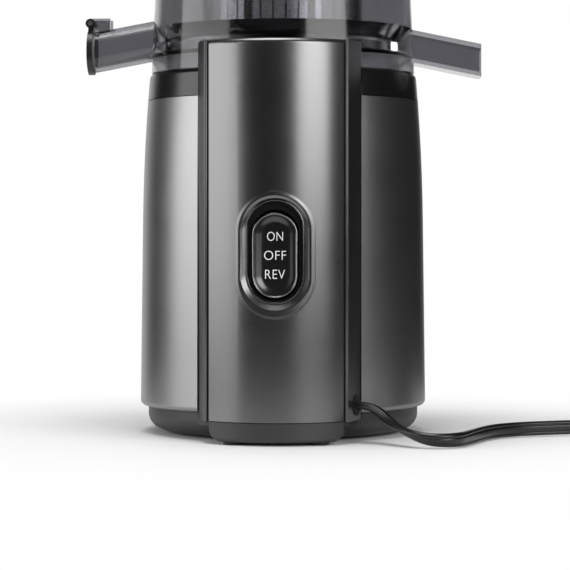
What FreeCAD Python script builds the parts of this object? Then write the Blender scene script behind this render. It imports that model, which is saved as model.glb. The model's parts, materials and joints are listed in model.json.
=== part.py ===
import FreeCAD, Part
import math
import os

# A slow juicer in millimetres. Origin on the spindle axis at the table top, +Z up.
# The switch column faces -Y, the juice spout -X and the pulp spout +X.

V = FreeCAD.Vector
X_AXIS = V(1, 0, 0)
Y_AXIS = V(0, 1, 0)
Z_AXIS = V(0, 0, 1)
ORIGIN = V(0, 0, 0)

# Fits and gaps
running_fit = 0.05
press_fit = 0.02
body_gap = 0.4
seam_gap = 0.5
bite = 1.0
touching = 1e-4

# Casing
casing_wall = 2.6
base_radius = 85.0
shoulder_radius = 83.7
shoulder_rise = 109.0
shoulder_curve = 1160.0
shell_height = 180.2
shell_round = 3.0
shell_lip = 7.0
collar_height = 15.6
collar_round = 2.5
collar_seat_radius = 73.0
deck_drop = 7.0
deck_thickness = 3.0

# Pan and feet
foot_height = 1.6
foot_recess = 1.2
foot_radius = 5.6
column_foot_spread = 24.0
column_foot_setback = 14.0
side_foot_place = 62.0
pan_inset = 4.7
pan_height = 14.2
pan_round = 9.5
lobe_inset = 0.9
lobe_round = 1.8
lobe_corner_round = 7.0
lobe_blend = 9.0
lobe_hollow = 0.3
lobe_seam_drop = 3.4
vent_count = 12
vent_width = 3.0
vent_inner = 14.0
vent_outer = 28.0

# Column
panel_half_width = 38.6
panel_front = 103.6
panel_rise = 15.0
panel_return = 4.6
panel_corner_round = 3.5
frame_rim = 1.2
frame_rim_round = 0.5
frame_wall = 2.2
frame_root = 70.0
frame_back = 62.0
front_shell_edge = 45.6
rear_shell_edge = 47.5
shell_edge_gap = 0.4
column_rise_over_collar = 14.0
column_top_round = 3.0
pan_screw_spread = 32.0
pan_screw_place = 76.0
pan_screw_radius = 1.7
pan_screw_head = 3.2
pan_screw_recess = 0.4

# Switch
switch_height = 107.6
dish_flare = 3.8
dish_depth = 2.4
dish_lip_round = 2.0
bezel_width = 32.4
bezel_height = 58.4
bezel_rim = 1.2
bezel_rim_round = 0.4
bezel_proud = 0.6
bezel_depth = 6.0
bezel_floor = 1.6
rocker_width = 25.0
rocker_height = 47.0
rocker_drop = 2.1
rocker_proud = 0.6
rocker_thickness = 10.0
rocker_round = 1.6
rocker_side_gap = 0.6
rocker_end_gap = 1.9
rocker_pin_depth = 8.6
rocker_pin_radius = 1.5
switch_body_depth = 17.0
switch_body_wall = 2.0
terminal_width = 6.0
terminal_length = 7.0
terminal_thickness = 0.8

# Control board
board_width = 52.0
board_height = 40.0
board_thickness = 1.6
board_level = 78.0
board_standoff = 3.4
board_screw_inset = 4.0
board_screw_radius = 1.2
relay_size = 15.0
capacitor_radius = 8.0
capacitor_height = 16.0
component_inset = 8.0

# Motor
motor_bottom = 24.0
can_radius = 33.0
can_wall = 2.2
can_height = 82.0
bell_thickness = 6.0
bush_radius = 8.0
bush_length = 7.0
shaft_radius = 4.0
shaft_tail = 15.0
core_radius = 24.6
core_length = 42.0
core_lift = 18.0
air_gap = 0.6
rotor_slots = 12
rotor_slot_depth = 9.0
rotor_slot_width = 1.8
magnet_angle = 140.0
winding_length = 8.0
winding_outer = 21.0
winding_inner = 9.0
winding_bulge = 1.5
commutator_radius = 11.0
commutator_length = 9.5
commutator_slot_depth = 1.2
commutator_slot_width = 0.6
brush_width = 5.0
brush_length = 15.0
brush_gap = 0.15
brush_holder_wall = 1.8
brush_holder_room = 3.0
brush_spring_room = 1.0
fan_radius = 29.0
fan_height = 10.0
fan_hub = 10.0
fan_blades = 9
fan_blade_thickness = 1.6
fan_blade_inset = 1.0
motor_screw_spread = 24.0
motor_screw_radius = 2.0
motor_screw_head = 3.5

# Gear train
gear_module = 1.0
pinion_teeth = 12
wheel_teeth = 60
gear_dedendum = 1.25
pressure_angle = math.radians(25)
backlash = 0.16
first_face = 10.0
second_face = 14.0
pinion_overlap = 1.0
gear_spacing = 2.4
idler_pin_radius = 4.0
gearbox_wall = 3.0
gear_tip_room = 3.0
ear_radius = 6.0
ear_side = 44.0
ear_inset = 4.0
gearbox_screw_radius = 2.0
gearbox_screw_reach = 14.0
drive_radius = 7.0
drive_hex = 12.0
drive_hex_rise = 47.0
drive_bush_radius = 10.0
drive_bush_length = 10.0
drive_boss_height = 34.0
drive_boss_wall = 3.5
seal_radius = 12.0
seal_length = 6.0
seal_housing_wall = 3.0

# Bowl and strainer
bowl_wall = 2.8
bowl_floor_rise = 19.0
bowl_height = 90.8
bowl_foot_gap = 0.6
bowl_base_radius = 78.6
bowl_rim_radius = 74.6
bowl_well_radius = 59.0
bowl_tube_radius = 15.0
bowl_tube_bore = 10.5
bowl_tube_rise = 12.0
bowl_seal_length = 4.0
spout_reach = 112.0
spout_radius = 12.0
spout_bore = 9.4
spout_rise = 12.0
spout_fall = 10.0
pulp_width = 22.0
pulp_height = 14.0
pulp_wall = 2.6
pulp_fall = 14.0
strainer_radius = 47.0
screen_thickness = 0.6
strainer_rib = 3.2
strainer_ribs = 8
strainer_rib_inset = 0.3
strainer_ring = 8.0
strainer_height = 69.0
screen_slots = 40
screen_slot_width = 1.0
auger_radius = 45.4
auger_foot = 8.0
auger_core_top = 14.0
auger_core_waist = 22.0
auger_pitch = 25.0
auger_flight = 4.6
auger_height = 64.0
auger_pin_radius = 5.0
auger_pin_length = 6.4
socket_radius = 9.6
socket_length = 18.0
cap_thickness = 3.2
cap_margin = 1.6
cap_knuckle = 2.8
cap_pin_radius = 1.4
cap_ear = 3.0
cap_ear_spread = 10.0

# Lid and pusher
lid_thickness = 3.0
lid_skirt = 2.2
lid_skirt_drop = 9.0
lid_hooks = 3
hook_place = 60.0
hook_angle = 22.0
hook_thickness = 2.4
hook_drop = 17.0
lug_height = 4.0
lug_reach = 3.0
gasket_height = 1.2
gasket_width = 3.0
chute_offset = 32.0
chute_radius = 21.0
chute_wall = 2.6
chute_height = 74.0
chute_rim = 3.0
pusher_gap = 0.5
pusher_length = 46.0
pusher_cap_height = 8.0
pusher_cap_rim = 4.0
pusher_crown = 8.0

# Cord, coil and plug
cord_width = 8.2
cord_thickness = 4.4
cord_bend_share = 0.45
cord_exit_height = 21.0
cord_stub = 6.0
cord_exit_place = 77.0
grommet_flange = 0.8
grommet_margin = 0.9
grommet_length = 20.0
coil_x = 228.0
coil_y = 20.0
coil_outer = 48.0
coil_step = 7.5
coil_layer = 9.4
coil_first_turns = 1.25
coil_climb_turns = 0.5
coil_last_turns = 1.5
coil_lead = 25.0
coil_tail = 36.0
tie_width = 12.0
tie_thickness = 0.9
tie_room = 0.4
tie_angle = 225.0
plug_length = 33.0
plug_width = 20.0
plug_round = 4.0
blade_length = 16.0
blade_width = 6.4
blade_thickness = 1.5
blade_spacing = 12.7

# Levels and radii worked out from the sizes above
pan_radius = base_radius - pan_inset
pan_bottom = foot_height
pan_top = pan_bottom + pan_height
lobe_top = pan_top - lobe_seam_drop
shell_bottom = pan_top
shell_top = shell_bottom + shell_height
collar_bottom = shell_top + body_gap
collar_top = collar_bottom + collar_height
deck_top = collar_top - deck_drop
deck_under = deck_top - deck_thickness
column_bottom = lobe_top
column_top = collar_top + column_rise_over_collar
shoulder_level = shell_bottom + shoulder_rise
panel_edge = panel_front - panel_rise
frame_half_width = panel_half_width + seam_gap + frame_rim
can_top = motor_bottom + can_height
gearbox_bottom = can_top + bell_thickness
gearbox_floor = gearbox_bottom + gearbox_wall
first_wheel_bottom = gearbox_floor + gear_spacing
first_wheel_top = first_wheel_bottom + first_face
second_wheel_bottom = first_wheel_top + gear_spacing
second_wheel_top = second_wheel_bottom + second_face
gearbox_top = second_wheel_top + gear_spacing
cover_top = gearbox_top + gearbox_wall
drive_boss_top = cover_top + drive_boss_height
gear_centres = gear_module * (pinion_teeth + wheel_teeth) / 2
wheel_tip_radius = gear_module * (wheel_teeth / 2 + 1)
gearbox_inner = wheel_tip_radius + gear_tip_room
gearbox_outer = gearbox_inner + gearbox_wall
bowl_bottom = deck_top + body_gap / 2
bowl_floor = bowl_bottom + bowl_floor_rise
bowl_rim = bowl_bottom + bowl_height
bowl_tube_top = bowl_floor + bowl_tube_rise
spout_level = bowl_floor + spout_rise
strainer_bottom = bowl_floor
strainer_top = strainer_bottom + strainer_height
screen_bottom = strainer_bottom + strainer_ring
screen_top = strainer_top - strainer_ring
auger_bottom = bowl_floor + 2 * body_gap
auger_top = auger_bottom + auger_height
socket_bottom = bowl_tube_top + 2 * body_gap
lid_under = bowl_rim + gasket_height + body_gap / 2
lid_top = lid_under + lid_thickness
chute_top = lid_top + chute_height
pusher_seat = chute_top + body_gap / 2


def lathe(x, z):
    return V(x, 0, z)


def plan(level):
    return lambda x, y: V(x, y, level)


def closed_wire(steps, place):
    """Closed outline: a step (a, b) is a line to there, (ma, mb, a, b) an arc through the middle point."""
    edges = []
    here = place(*steps[0])
    for step in steps[1:] + steps[:1]:
        there = place(*step[-2:])
        if len(step) == 4:
            edges.append(Part.Arc(here, place(*step[:2]), there).toShape())
        elif here.distanceToPoint(there) > touching:
            edges.append(Part.LineSegment(here, there).toShape())
        here = there
    return Part.Wire(edges)


def turned(steps):
    return Part.Face(closed_wire(steps, lathe)).revolve(ORIGIN, Z_AXIS, 360)


def prism(steps, bottom, top):
    return Part.Face(closed_wire(steps, plan(bottom))).extrude(V(0, 0, top - bottom))


def rod(radius, bottom, top, x=0, y=0):
    return Part.makeCylinder(radius, top - bottom, V(x, y, bottom))


def tube(outer, inner, bottom, top, x=0, y=0):
    return rod(outer, bottom, top, x, y).cut(rod(inner, bottom, top, x, y))


def block(x0, x1, y0, y1, z0, z1):
    return Part.makeBox(x1 - x0, y1 - y0, z1 - z0, V(x0, y0, z0))


def fused(shapes):
    return shapes[0].multiFuse(shapes[1:]).removeSplitter()


def far_side(shape):
    return shape.mirror(ORIGIN, Y_AXIS)


def stadium(width, height, y, level):
    """Upright stadium outline in the plane at y."""
    radius = width / 2
    reach = height / 2 - radius
    steps = [
        (-radius, -reach),
        (0, -reach - radius, radius, -reach),
        (radius, reach),
        (0, reach + radius, -radius, reach),
    ]
    return closed_wire(steps, lambda x, z: V(x, y, level + z))


def stadium_bar(width, height, front, back, level):
    return Part.Face(stadium(width, height, front, level)).extrude(V(0, back - front, 0))


def edges_at(shape, level):
    """Edges that lie wholly at one height."""
    found = []
    for edge in shape.Edges:
        box = edge.BoundBox
        if max(abs(box.ZMin - level), abs(box.ZMax - level)) < touching:
            found.append(edge)
    return found


def body_radius(level):
    """Outer radius of the casing: a taper that rolls in above the shoulder."""
    taper = (base_radius - shoulder_radius) / shoulder_rise
    radius = base_radius - taper * (level - shell_bottom)
    above = level - shoulder_level
    if above > 0:
        radius -= shoulder_curve - math.sqrt(shoulder_curve ** 2 - above ** 2)
    return radius


def casing_curve(bottom, top, inset):
    """Arc step along the casing from one level to another."""
    middle = (bottom + top) / 2
    return (body_radius(middle) - inset, middle, body_radius(top) - inset, top)


# Casing shells

def casing_ring():
    turn = shell_round * (1 - math.sqrt(0.5))
    round_top = shell_bottom + shell_round
    inside_floor = shell_bottom + casing_wall
    return turned([
        (base_radius - shell_round, shell_bottom),
        (base_radius - turn, shell_bottom + turn, body_radius(round_top), round_top),
        (shoulder_radius, shoulder_level),
        casing_curve(shoulder_level, shell_top, 0),
        (body_radius(shell_top) - casing_wall, shell_top),
        casing_curve(shell_top, shoulder_level, casing_wall),
        (body_radius(inside_floor) - casing_wall, inside_floor),
        (base_radius - shell_lip - casing_wall, inside_floor),
        (base_radius - shell_lip - casing_wall, shell_bottom),
    ])


def front_shell():
    size = 2 * base_radius
    return casing_ring().common(block(-size, -front_shell_edge, -size, size, 0, shell_top))


def rear_shell():
    size = 2 * base_radius
    return casing_ring().common(block(rear_shell_edge, size, -size, size, 0, shell_top))


# Switch column: a slanted frame with an arched cover set into it

def frame_outline(gap=0.0):
    front_wall = front_shell_edge - shell_edge_gap + gap
    rear_wall = rear_shell_edge - shell_edge_gap + gap
    return [
        (-front_wall, -frame_back + gap),
        (-front_wall, -frame_root),
        (-frame_half_width - gap, -panel_edge),
        (frame_half_width + gap, -panel_edge),
        (rear_wall, -frame_root),
        (rear_wall, -frame_back + gap),
    ]


def frame_pocket():
    front_wall = front_shell_edge - shell_edge_gap - frame_wall
    rear_wall = rear_shell_edge - shell_edge_gap - frame_wall
    mouth = panel_half_width + seam_gap
    return [
        (-front_wall, -frame_back - frame_wall),
        (-front_wall, -frame_root),
        (-mouth, -panel_edge),
        (-mouth, -panel_front),
        (mouth, -panel_front),
        (mouth, -panel_edge),
        (rear_wall, -frame_root),
        (rear_wall, -frame_back - frame_wall),
    ]


def column_frame():
    frame = prism(frame_outline(), column_bottom, column_top)
    frame = frame.makeFillet(frame_rim_round, upright_edges(frame, frame_half_width, panel_edge))
    frame = frame.cut(prism(frame_pocket(), column_bottom + frame_wall, column_top - frame_wall))
    mouth = panel_half_width + seam_gap
    cover_back = panel_edge - panel_return - seam_gap
    frame = frame.cut(block(-mouth, mouth, -panel_edge, -cover_back, column_bottom, column_top))
    for side in (-1, 1):
        x = side * pan_screw_spread
        frame = frame.cut(rod(pan_screw_radius, column_bottom, column_bottom + frame_wall, x, -pan_screw_place))
    return frame


def panel_outline(inset, back):
    half = panel_half_width - inset
    edge = -panel_edge
    return [(-half, -back), (-half, edge), (0, -panel_front + inset, half, edge), (half, -back)]


def column_cover():
    back = panel_edge - panel_return
    bottom = column_bottom + seam_gap
    outer = prism(panel_outline(0, back), bottom, column_top)
    outer = outer.makeFillet(panel_corner_round, upright_edges(outer, panel_half_width, panel_edge))
    outer = outer.makeFillet(column_top_round, front_edges(outer, column_top))
    return outer.cut(prism(panel_outline(casing_wall, back), bottom + casing_wall, column_top - casing_wall))


def upright_edges(shape, side, depth):
    """Upright edges at one distance each side of the middle and one depth to the front."""
    found = []
    for edge in shape.Edges:
        box = edge.BoundBox
        middle = box.Center
        off = max(abs(abs(middle.x) - side), abs(middle.y + depth), box.XLength, box.YLength)
        if off < touching:
            found.append(edge)
    return found


def front_edges(shape, level):
    """The arched edge at one height of a column piece."""
    return [edge for edge in edges_at(shape, level) if edge.BoundBox.YMin < touching - panel_front]


def behind_panel(inset):
    """Space behind the arched face, moved in by an inset."""
    return prism(panel_outline(inset, frame_back), 0, column_top)


def switch_column_cover():
    """Arched cover with a window for the bezel, flared into a dish that follows the arch."""
    grown = 2 * (dish_flare + casing_wall)
    boss = stadium_bar(bezel_width + grown, bezel_height + grown, -panel_front, -frame_root, switch_height)
    boss = boss.common(behind_panel(casing_wall / 2)).cut(behind_panel(dish_depth + casing_wall))
    width = bezel_width + 2 * press_fit
    height = bezel_height + 2 * press_fit
    window = stadium_bar(width, height, -panel_front - bite, -frame_root, switch_height)
    cover = column_cover().fuse(boss).cut(window)
    cover = cover.makeChamfer(dish_flare, dish_depth, window_edges(cover, width, height))
    return cover.makeFillet(dish_lip_round, dish_lip_edges(cover))


def window_edges(cover, width, height):
    """Edges of the switch window that lie on the arched face."""
    found = []
    for edge in cover.Edges:
        box = edge.BoundBox
        inside = abs(box.Center.x) < width and abs(box.Center.z - switch_height) < height
        if inside and box.YMax < -panel_front + panel_depth_at(width / 2) + touching:
            found.append(edge)
    return found


def dish_lip_edges(cover):
    """Edges where the dish meets the arched face."""
    found = []
    straight = (bezel_height - bezel_width) / 2
    for edge in cover.Edges:
        point = edge.valueAt((edge.FirstParameter + edge.LastParameter) / 2)
        past_straight = max(0, abs(point.z - switch_height) - straight)
        out = math.hypot(point.x, past_straight) - bezel_width / 2
        on_face = abs(point.y + panel_front - panel_depth_at(point.x)) < press_fit
        if on_face and press_fit < out < 2 * dish_flare:
            found.append(edge)
    return found


def panel_depth_at(x):
    """How far the arched face lies behind its middle at a distance from the middle."""
    radius = (panel_half_width ** 2 + panel_rise ** 2) / (2 * panel_rise)
    return radius - math.sqrt(radius ** 2 - x ** 2)


def board_screw_places():
    places = []
    for x in (-1, 1):
        for z in (-1, 1):
            level = board_level + z * (board_height / 2 - board_screw_inset)
            places.append(V(x * (board_width / 2 - board_screw_inset), -frame_back, level))
    return places


def switch_column_frame():
    """Column frame with posts for the control board and the hole that the cord leaves by."""
    posts = []
    cuts = [grommet_bar(bite, 2 * frame_wall, grommet_margin)]
    for place in board_screw_places():
        posts.append(Part.makeCylinder(2 * board_screw_radius, board_standoff, place, Y_AXIS))
        hole_start = place - Y_AXIS * board_standoff
        cuts.append(Part.makeCylinder(board_screw_radius, 2 * board_standoff, hole_start, Y_AXIS))
    return column_frame().multiFuse(posts).cut(Part.makeCompound(cuts))


# Switch

def switch_front():
    return -panel_front + dish_depth - bezel_proud


def rocker_level():
    return switch_height - rocker_drop


def switch_bezel():
    front = switch_front()
    floor = front + bezel_depth
    shell = stadium_bar(bezel_width, bezel_height, front, floor, switch_height)
    shell = shell.common(behind_panel(dish_depth - bezel_proud))
    well_width = bezel_width - 2 * bezel_rim
    well = stadium_bar(well_width, bezel_height - 2 * bezel_rim, front, floor - bezel_floor, switch_height)
    bezel = shell.cut(well).cut(rocker_window(front, floor))
    return bezel.makeFillet(bezel_rim_round, bezel_rim_edges(bezel))


def bezel_rim_edges(bezel):
    """Edges on both sides of the bezel's front rim."""
    back = -panel_front + dish_depth - bezel_proud + panel_depth_at(bezel_width / 2)
    return [edge for edge in bezel.Edges if edge.BoundBox.YMax < back + seam_gap]


def rocker_window(front, back):
    width = rocker_width + 2 * rocker_side_gap
    height = rocker_height + 2 * rocker_end_gap
    return stadium_bar(width, height, front, back, rocker_level())


def rocker_pin_place():
    return switch_front() - rocker_proud + rocker_pin_depth


def rocker():
    face = switch_front() - rocker_proud
    key = stadium_bar(rocker_width, rocker_height, face, face + rocker_thickness, rocker_level())
    rim = [edge for edge in key.Edges if edge.BoundBox.YMax < face + touching]
    key = key.makeFillet(rocker_round, rim)
    return key.cut(switch_pin_bar(rocker_pin_radius + running_fit, rocker_width / 2))


def switch_pin_bar(radius, half_length):
    start = V(-half_length, rocker_pin_place(), rocker_level())
    return Part.makeCylinder(radius, 2 * half_length, start, X_AXIS)


def rocker_pin():
    return switch_pin_bar(rocker_pin_radius, switch_half_width())


def switch_half_width():
    return rocker_width / 2 + rocker_side_gap + switch_body_wall


def switch_body():
    front = switch_front() + bezel_depth
    back = front + switch_body_depth
    height = rocker_height + 2 * rocker_end_gap + 2 * switch_body_wall
    shell = stadium_bar(2 * switch_half_width(), height, front, back, rocker_level())
    cavity = rocker_window(front, back - 2 * switch_body_wall)
    pin_hole = switch_pin_bar(rocker_pin_radius + press_fit, switch_half_width())
    terminals = []
    for row in (-1, 0, 1):
        low = rocker_level() + row * rocker_height / 4 - terminal_thickness / 2
        half = terminal_width / 2
        terminals.append(block(-half, half, back, back + terminal_length, low, low + terminal_thickness))
    return fused([shell.cut(cavity).cut(pin_hole)] + terminals)


def control_board():
    front = -frame_back + board_standoff
    half = board_width / 2
    low = board_level - board_height / 2
    board = block(-half, half, front, front + board_thickness, low, low + board_height)
    inside = front + board_thickness
    relay_x = component_inset - half
    relay_low = board_level - relay_size / 2
    relay = block(relay_x, relay_x + relay_size, inside, inside + relay_size, relay_low, relay_low + relay_size)
    can_place = V(half - component_inset - capacitor_radius, inside, board_level)
    can = Part.makeCylinder(capacitor_radius, capacitor_height, can_place, Y_AXIS)
    holes = board_screw_bars(board_screw_radius + press_fit)
    return fused([board, relay, can]).cut(Part.makeCompound(holes))


def board_screw_bars(radius):
    length = board_standoff + board_thickness
    return [Part.makeCylinder(radius, length, place, Y_AXIS) for place in board_screw_places()]


def board_screws():
    screws = []
    head_place = Y_AXIS * (board_standoff + board_thickness)
    for shank, place in zip(board_screw_bars(board_screw_radius - press_fit), board_screw_places()):
        head = Part.makeCylinder(2 * board_screw_radius, board_screw_radius, place + head_place, Y_AXIS)
        screws.append(shank.fuse(head))
    return Part.makeCompound(screws)


# Collar with the deck that the bowl stands on

def top_collar():
    edge = body_radius(collar_top) - collar_round
    turn = collar_round * (1 - math.sqrt(0.5))
    round_bottom = collar_top - collar_round
    under = body_radius(collar_bottom) - casing_wall
    collar = turned([
        (seal_radius, deck_top),
        (collar_seat_radius, deck_top),
        (collar_seat_radius, collar_top),
        (edge, collar_top),
        (edge + collar_round - turn, collar_top - turn, body_radius(round_bottom), round_bottom),
        casing_curve(round_bottom, collar_bottom, 0),
        (under, collar_bottom),
        (under, deck_under),
        (seal_radius + seal_housing_wall, deck_under),
        (seal_radius + seal_housing_wall, deck_under - seal_length),
        (seal_radius, deck_under - seal_length),
    ])
    posts = [rod(ear_radius, cover_top, deck_under, x, y) for x, y in ear_places()]
    collar = collar.multiFuse(posts)
    notch = prism(frame_outline(body_gap), 0, column_top)
    front = prism(panel_outline(-body_gap, frame_back), 0, column_top)
    cuts = [notch, front, far_side(notch), far_side(front)]
    for x, y in ear_places():
        cuts.append(rod(gearbox_screw_radius, cover_top, cover_top + gearbox_screw_reach, x, y))
    return collar.cut(Part.makeCompound(cuts))


# Pan and feet

def lobe_outline(inset):
    return panel_outline(inset, frame_back)


def lobe():
    """Foot under the column, with its lower corners rounded as seen from the front."""
    side = panel_half_width - lobe_inset
    turn = lobe_corner_round * (1 - math.sqrt(0.5))
    steps = [
        (-side, lobe_top),
        (-side, pan_bottom + lobe_corner_round),
        (turn - side, pan_bottom + turn, lobe_corner_round - side, pan_bottom),
        (side - lobe_corner_round, pan_bottom),
        (side - turn, pan_bottom + turn, side, pan_bottom + lobe_corner_round),
        (side, lobe_top),
    ]
    bar = Part.Face(closed_wire(steps, lathe)).extrude(V(0, -panel_front, 0))
    solid = bar.common(prism(lobe_outline(lobe_inset), pan_bottom, lobe_top))
    rim = [edge for edge in edges_at(solid, pan_bottom) if edge.BoundBox.YMax < -panel_edge]
    return solid.makeFillet(lobe_round, rim)


def lobe_blends():
    """Hollow-sided webs between the pan's round wall and the sides of the lobe."""
    side_x = panel_half_width - lobe_inset
    corner_y = -math.sqrt(pan_radius ** 2 - side_x ** 2)
    turn = math.atan2(corner_y, side_x) + lobe_blend / pan_radius
    end_x = pan_radius * math.cos(turn)
    end_y = pan_radius * math.sin(turn)
    middle_x = side_x + (end_x - side_x) * lobe_hollow
    middle_y = corner_y + (end_y - lobe_blend - corner_y) * lobe_hollow
    webs = []
    for side in (-1, 1):
        steps = [
            (0, corner_y + 2 * lobe_blend),
            (side * side_x, corner_y - lobe_blend),
            (side * middle_x, middle_y, side * end_x, end_y),
        ]
        webs.append(prism(steps, pan_bottom + lobe_corner_round, lobe_top))
    return webs


def pan_profile(inset):
    radius = pan_radius - inset
    bend = pan_round - inset
    turn = bend * (1 - math.sqrt(0.5))
    bottom = pan_bottom + inset
    return [
        (0, bottom),
        (radius - bend, bottom),
        (radius - turn, bottom + turn, radius, bottom + bend),
        (radius, pan_top),
        (0, pan_top),
    ]


def foot_places():
    places = [(side * side_foot_place, 0) for side in (-1, 1)]
    for x in (-1, 1):
        for y in (-1, 1):
            places.append((x * column_foot_spread, y * (panel_front - column_foot_setback)))
    return places


def pan_screw_places():
    return [(x * pan_screw_spread, y * pan_screw_place) for x in (-1, 1) for y in (-1, 1)]


def base_pan():
    near = fused([lobe()] + lobe_blends())
    pan = fused([turned(pan_profile(0)), near, far_side(near)])
    floor = pan_bottom + casing_wall
    hollow = prism(lobe_outline(lobe_inset + casing_wall), floor, pan_top)
    notch = prism(frame_outline(body_gap), lobe_top, pan_top)
    inside = turned(pan_profile(casing_wall))
    pan = pan.cut(Part.makeCompound([inside, hollow, far_side(hollow), notch, far_side(notch)]))
    posts = [rod(pan_screw_head + casing_wall, floor - bite, lobe_top, x, y) for x, y in pan_screw_places()]
    pan = pan.multiFuse(posts)
    cuts = [rod(foot_radius + press_fit, 0, pan_bottom + foot_recess, x, y) for x, y in foot_places()]
    for x, y in pan_screw_places():
        cuts.append(rod(pan_screw_radius + press_fit, 0, pan_top, x, y))
        cuts.append(rod(pan_screw_head + press_fit, 0, pan_bottom + casing_wall, x, y))
    for number in range(vent_count):
        slot = block(vent_inner, vent_outer, -vent_width / 2, vent_width / 2, 0, floor + bite)
        cuts.append(slot.rotated(ORIGIN, Z_AXIS, 360 * number / vent_count))
    return pan.cut(Part.makeCompound(cuts)).removeSplitter()


def rubber_feet():
    feet = []
    for x, y in foot_places():
        foot = rod(foot_radius, 0, pan_bottom + foot_recess, x, y)
        feet.append(foot.makeFillet(foot_height / 3, edges_at(foot, 0)))
    return Part.makeCompound(feet)


def pan_screws():
    screws = []
    top = column_bottom + frame_wall
    for x, y in pan_screw_places():
        bottom = pan_bottom + pan_screw_recess
        shank = rod(pan_screw_radius - press_fit, bottom, top, x, y)
        head = rod(pan_screw_head, bottom, pan_bottom + casing_wall, x, y)
        screws.append(shank.fuse(head))
    return Part.makeCompound(screws)


# Motor

def motor_can():
    inner = can_radius - can_wall
    floor = motor_bottom + can_wall
    return turned([
        (bush_radius + press_fit, motor_bottom),
        (can_radius, motor_bottom),
        (can_radius, can_top),
        (inner, can_top),
        (inner, floor),
        (bush_radius + can_wall, floor),
        (bush_radius + can_wall, motor_bottom + bush_length),
        (bush_radius + press_fit, motor_bottom + bush_length),
    ])


def motor_screw_places():
    return [(side * motor_screw_spread, 0) for side in (-1, 1)]


def motor_end_bell():
    pilot = can_radius - can_wall - press_fit
    bell = turned([
        (bush_radius + press_fit, can_top - bush_length + bell_thickness),
        (bush_radius + can_wall, can_top - bush_length + bell_thickness),
        (bush_radius + can_wall, can_top),
        (pilot - can_wall, can_top),
        (pilot - can_wall, can_top - can_wall),
        (pilot, can_top - can_wall),
        (pilot, can_top),
        (can_radius, can_top),
        (can_radius, gearbox_bottom),
        (bush_radius + press_fit, gearbox_bottom),
    ])
    holes = [rod(motor_screw_radius, can_top, gearbox_bottom, x, y) for x, y in motor_screw_places()]
    return bell.cut(Part.makeCompound(holes))


def motor_bushes():
    low = tube(bush_radius, shaft_radius + running_fit, motor_bottom, motor_bottom + bush_length)
    high = tube(bush_radius, shaft_radius + running_fit, gearbox_bottom - bush_length, gearbox_bottom)
    return Part.makeCompound([low, high])


def core_bottom():
    return motor_bottom + core_lift


def commutator_bottom():
    return core_bottom() + core_length + winding_length + seam_gap


def motor_magnets():
    outer = can_radius - can_wall - press_fit
    inner = core_radius + air_gap
    ring = tube(outer, inner, core_bottom(), core_bottom() + core_length)
    spread = math.radians(magnet_angle / 2)
    reach = 2 * can_radius
    wedge_y = reach * math.sin(spread)
    wedge_x = reach * math.cos(spread)
    outline = [(0, 0), (wedge_x, -wedge_y), (reach, -wedge_y), (reach, wedge_y), (wedge_x, wedge_y)]
    magnet = ring.common(prism(outline, 0, can_top))
    return Part.makeCompound([magnet, magnet.rotated(ORIGIN, Z_AXIS, 180)])


def rotor_core():
    top = core_bottom() + core_length
    core = tube(core_radius, shaft_radius + press_fit, core_bottom(), top)
    slots = []
    half = rotor_slot_width / 2
    for number in range(rotor_slots):
        slot = block(core_radius - rotor_slot_depth, core_radius + bite, -half, half, core_bottom(), top)
        slots.append(slot.rotated(ORIGIN, Z_AXIS, 360 * number / rotor_slots))
    return core.cut(Part.makeCompound(slots))


def end_winding(bottom, top):
    middle = (bottom + top) / 2
    return turned([
        (winding_inner, bottom),
        (winding_outer, bottom),
        (winding_outer + winding_bulge, middle, winding_outer, top),
        (winding_inner, top),
    ])


def rotor_windings():
    low = end_winding(core_bottom() - winding_length, core_bottom())
    high = end_winding(core_bottom() + core_length, core_bottom() + core_length + winding_length)
    return Part.makeCompound([low, high])


def commutator():
    bottom = commutator_bottom()
    top = bottom + commutator_length
    barrel = tube(commutator_radius, shaft_radius + press_fit, bottom, top)
    slots = []
    half = commutator_slot_width / 2
    inner = commutator_radius - commutator_slot_depth
    for number in range(rotor_slots):
        slot = block(inner, commutator_radius + bite, -half, half, bottom, top)
        slots.append(slot.rotated(ORIGIN, Z_AXIS, 360 * (number + 0.5) / rotor_slots))
    return barrel.cut(Part.makeCompound(slots))


def brush_block(width, inner, outer, height):
    middle = commutator_bottom() + commutator_length / 2
    return block(inner, outer, -width / 2, width / 2, middle - height / 2, middle + height / 2)


def carbon_brushes():
    inner = commutator_radius + brush_gap
    brush = brush_block(brush_width, inner, inner + brush_length, brush_width)
    return Part.makeCompound([brush, brush.rotated(ORIGIN, Z_AXIS, 180)])


def brush_holder():
    """Ring trough inside the can, with a square guide for each brush."""
    outer = can_radius - can_wall - press_fit
    inner = commutator_radius + brush_holder_room
    bottom = commutator_bottom()
    top = bottom + commutator_length
    ring = tube(outer, inner, bottom, top)
    trough = tube(outer - brush_holder_wall, inner + brush_holder_wall, bottom, top - brush_holder_wall)
    guide_width = brush_width + 2 * brush_holder_wall
    guide = brush_block(guide_width, inner, outer - brush_holder_wall / 2, guide_width)
    channel_width = brush_width + 2 * press_fit
    channel_end = commutator_radius + brush_gap + brush_length + brush_spring_room
    channel = brush_block(channel_width, 0, channel_end, channel_width)
    guides = [guide, guide.rotated(ORIGIN, Z_AXIS, 180)]
    channels = [channel, channel.rotated(ORIGIN, Z_AXIS, 180)]
    return fused([ring.cut(trough)] + guides).cut(Part.makeCompound(channels))


def fan_bottom():
    return motor_bottom - shaft_tail


def rotor_shaft():
    return rod(shaft_radius, fan_bottom(), first_wheel_top)


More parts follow.
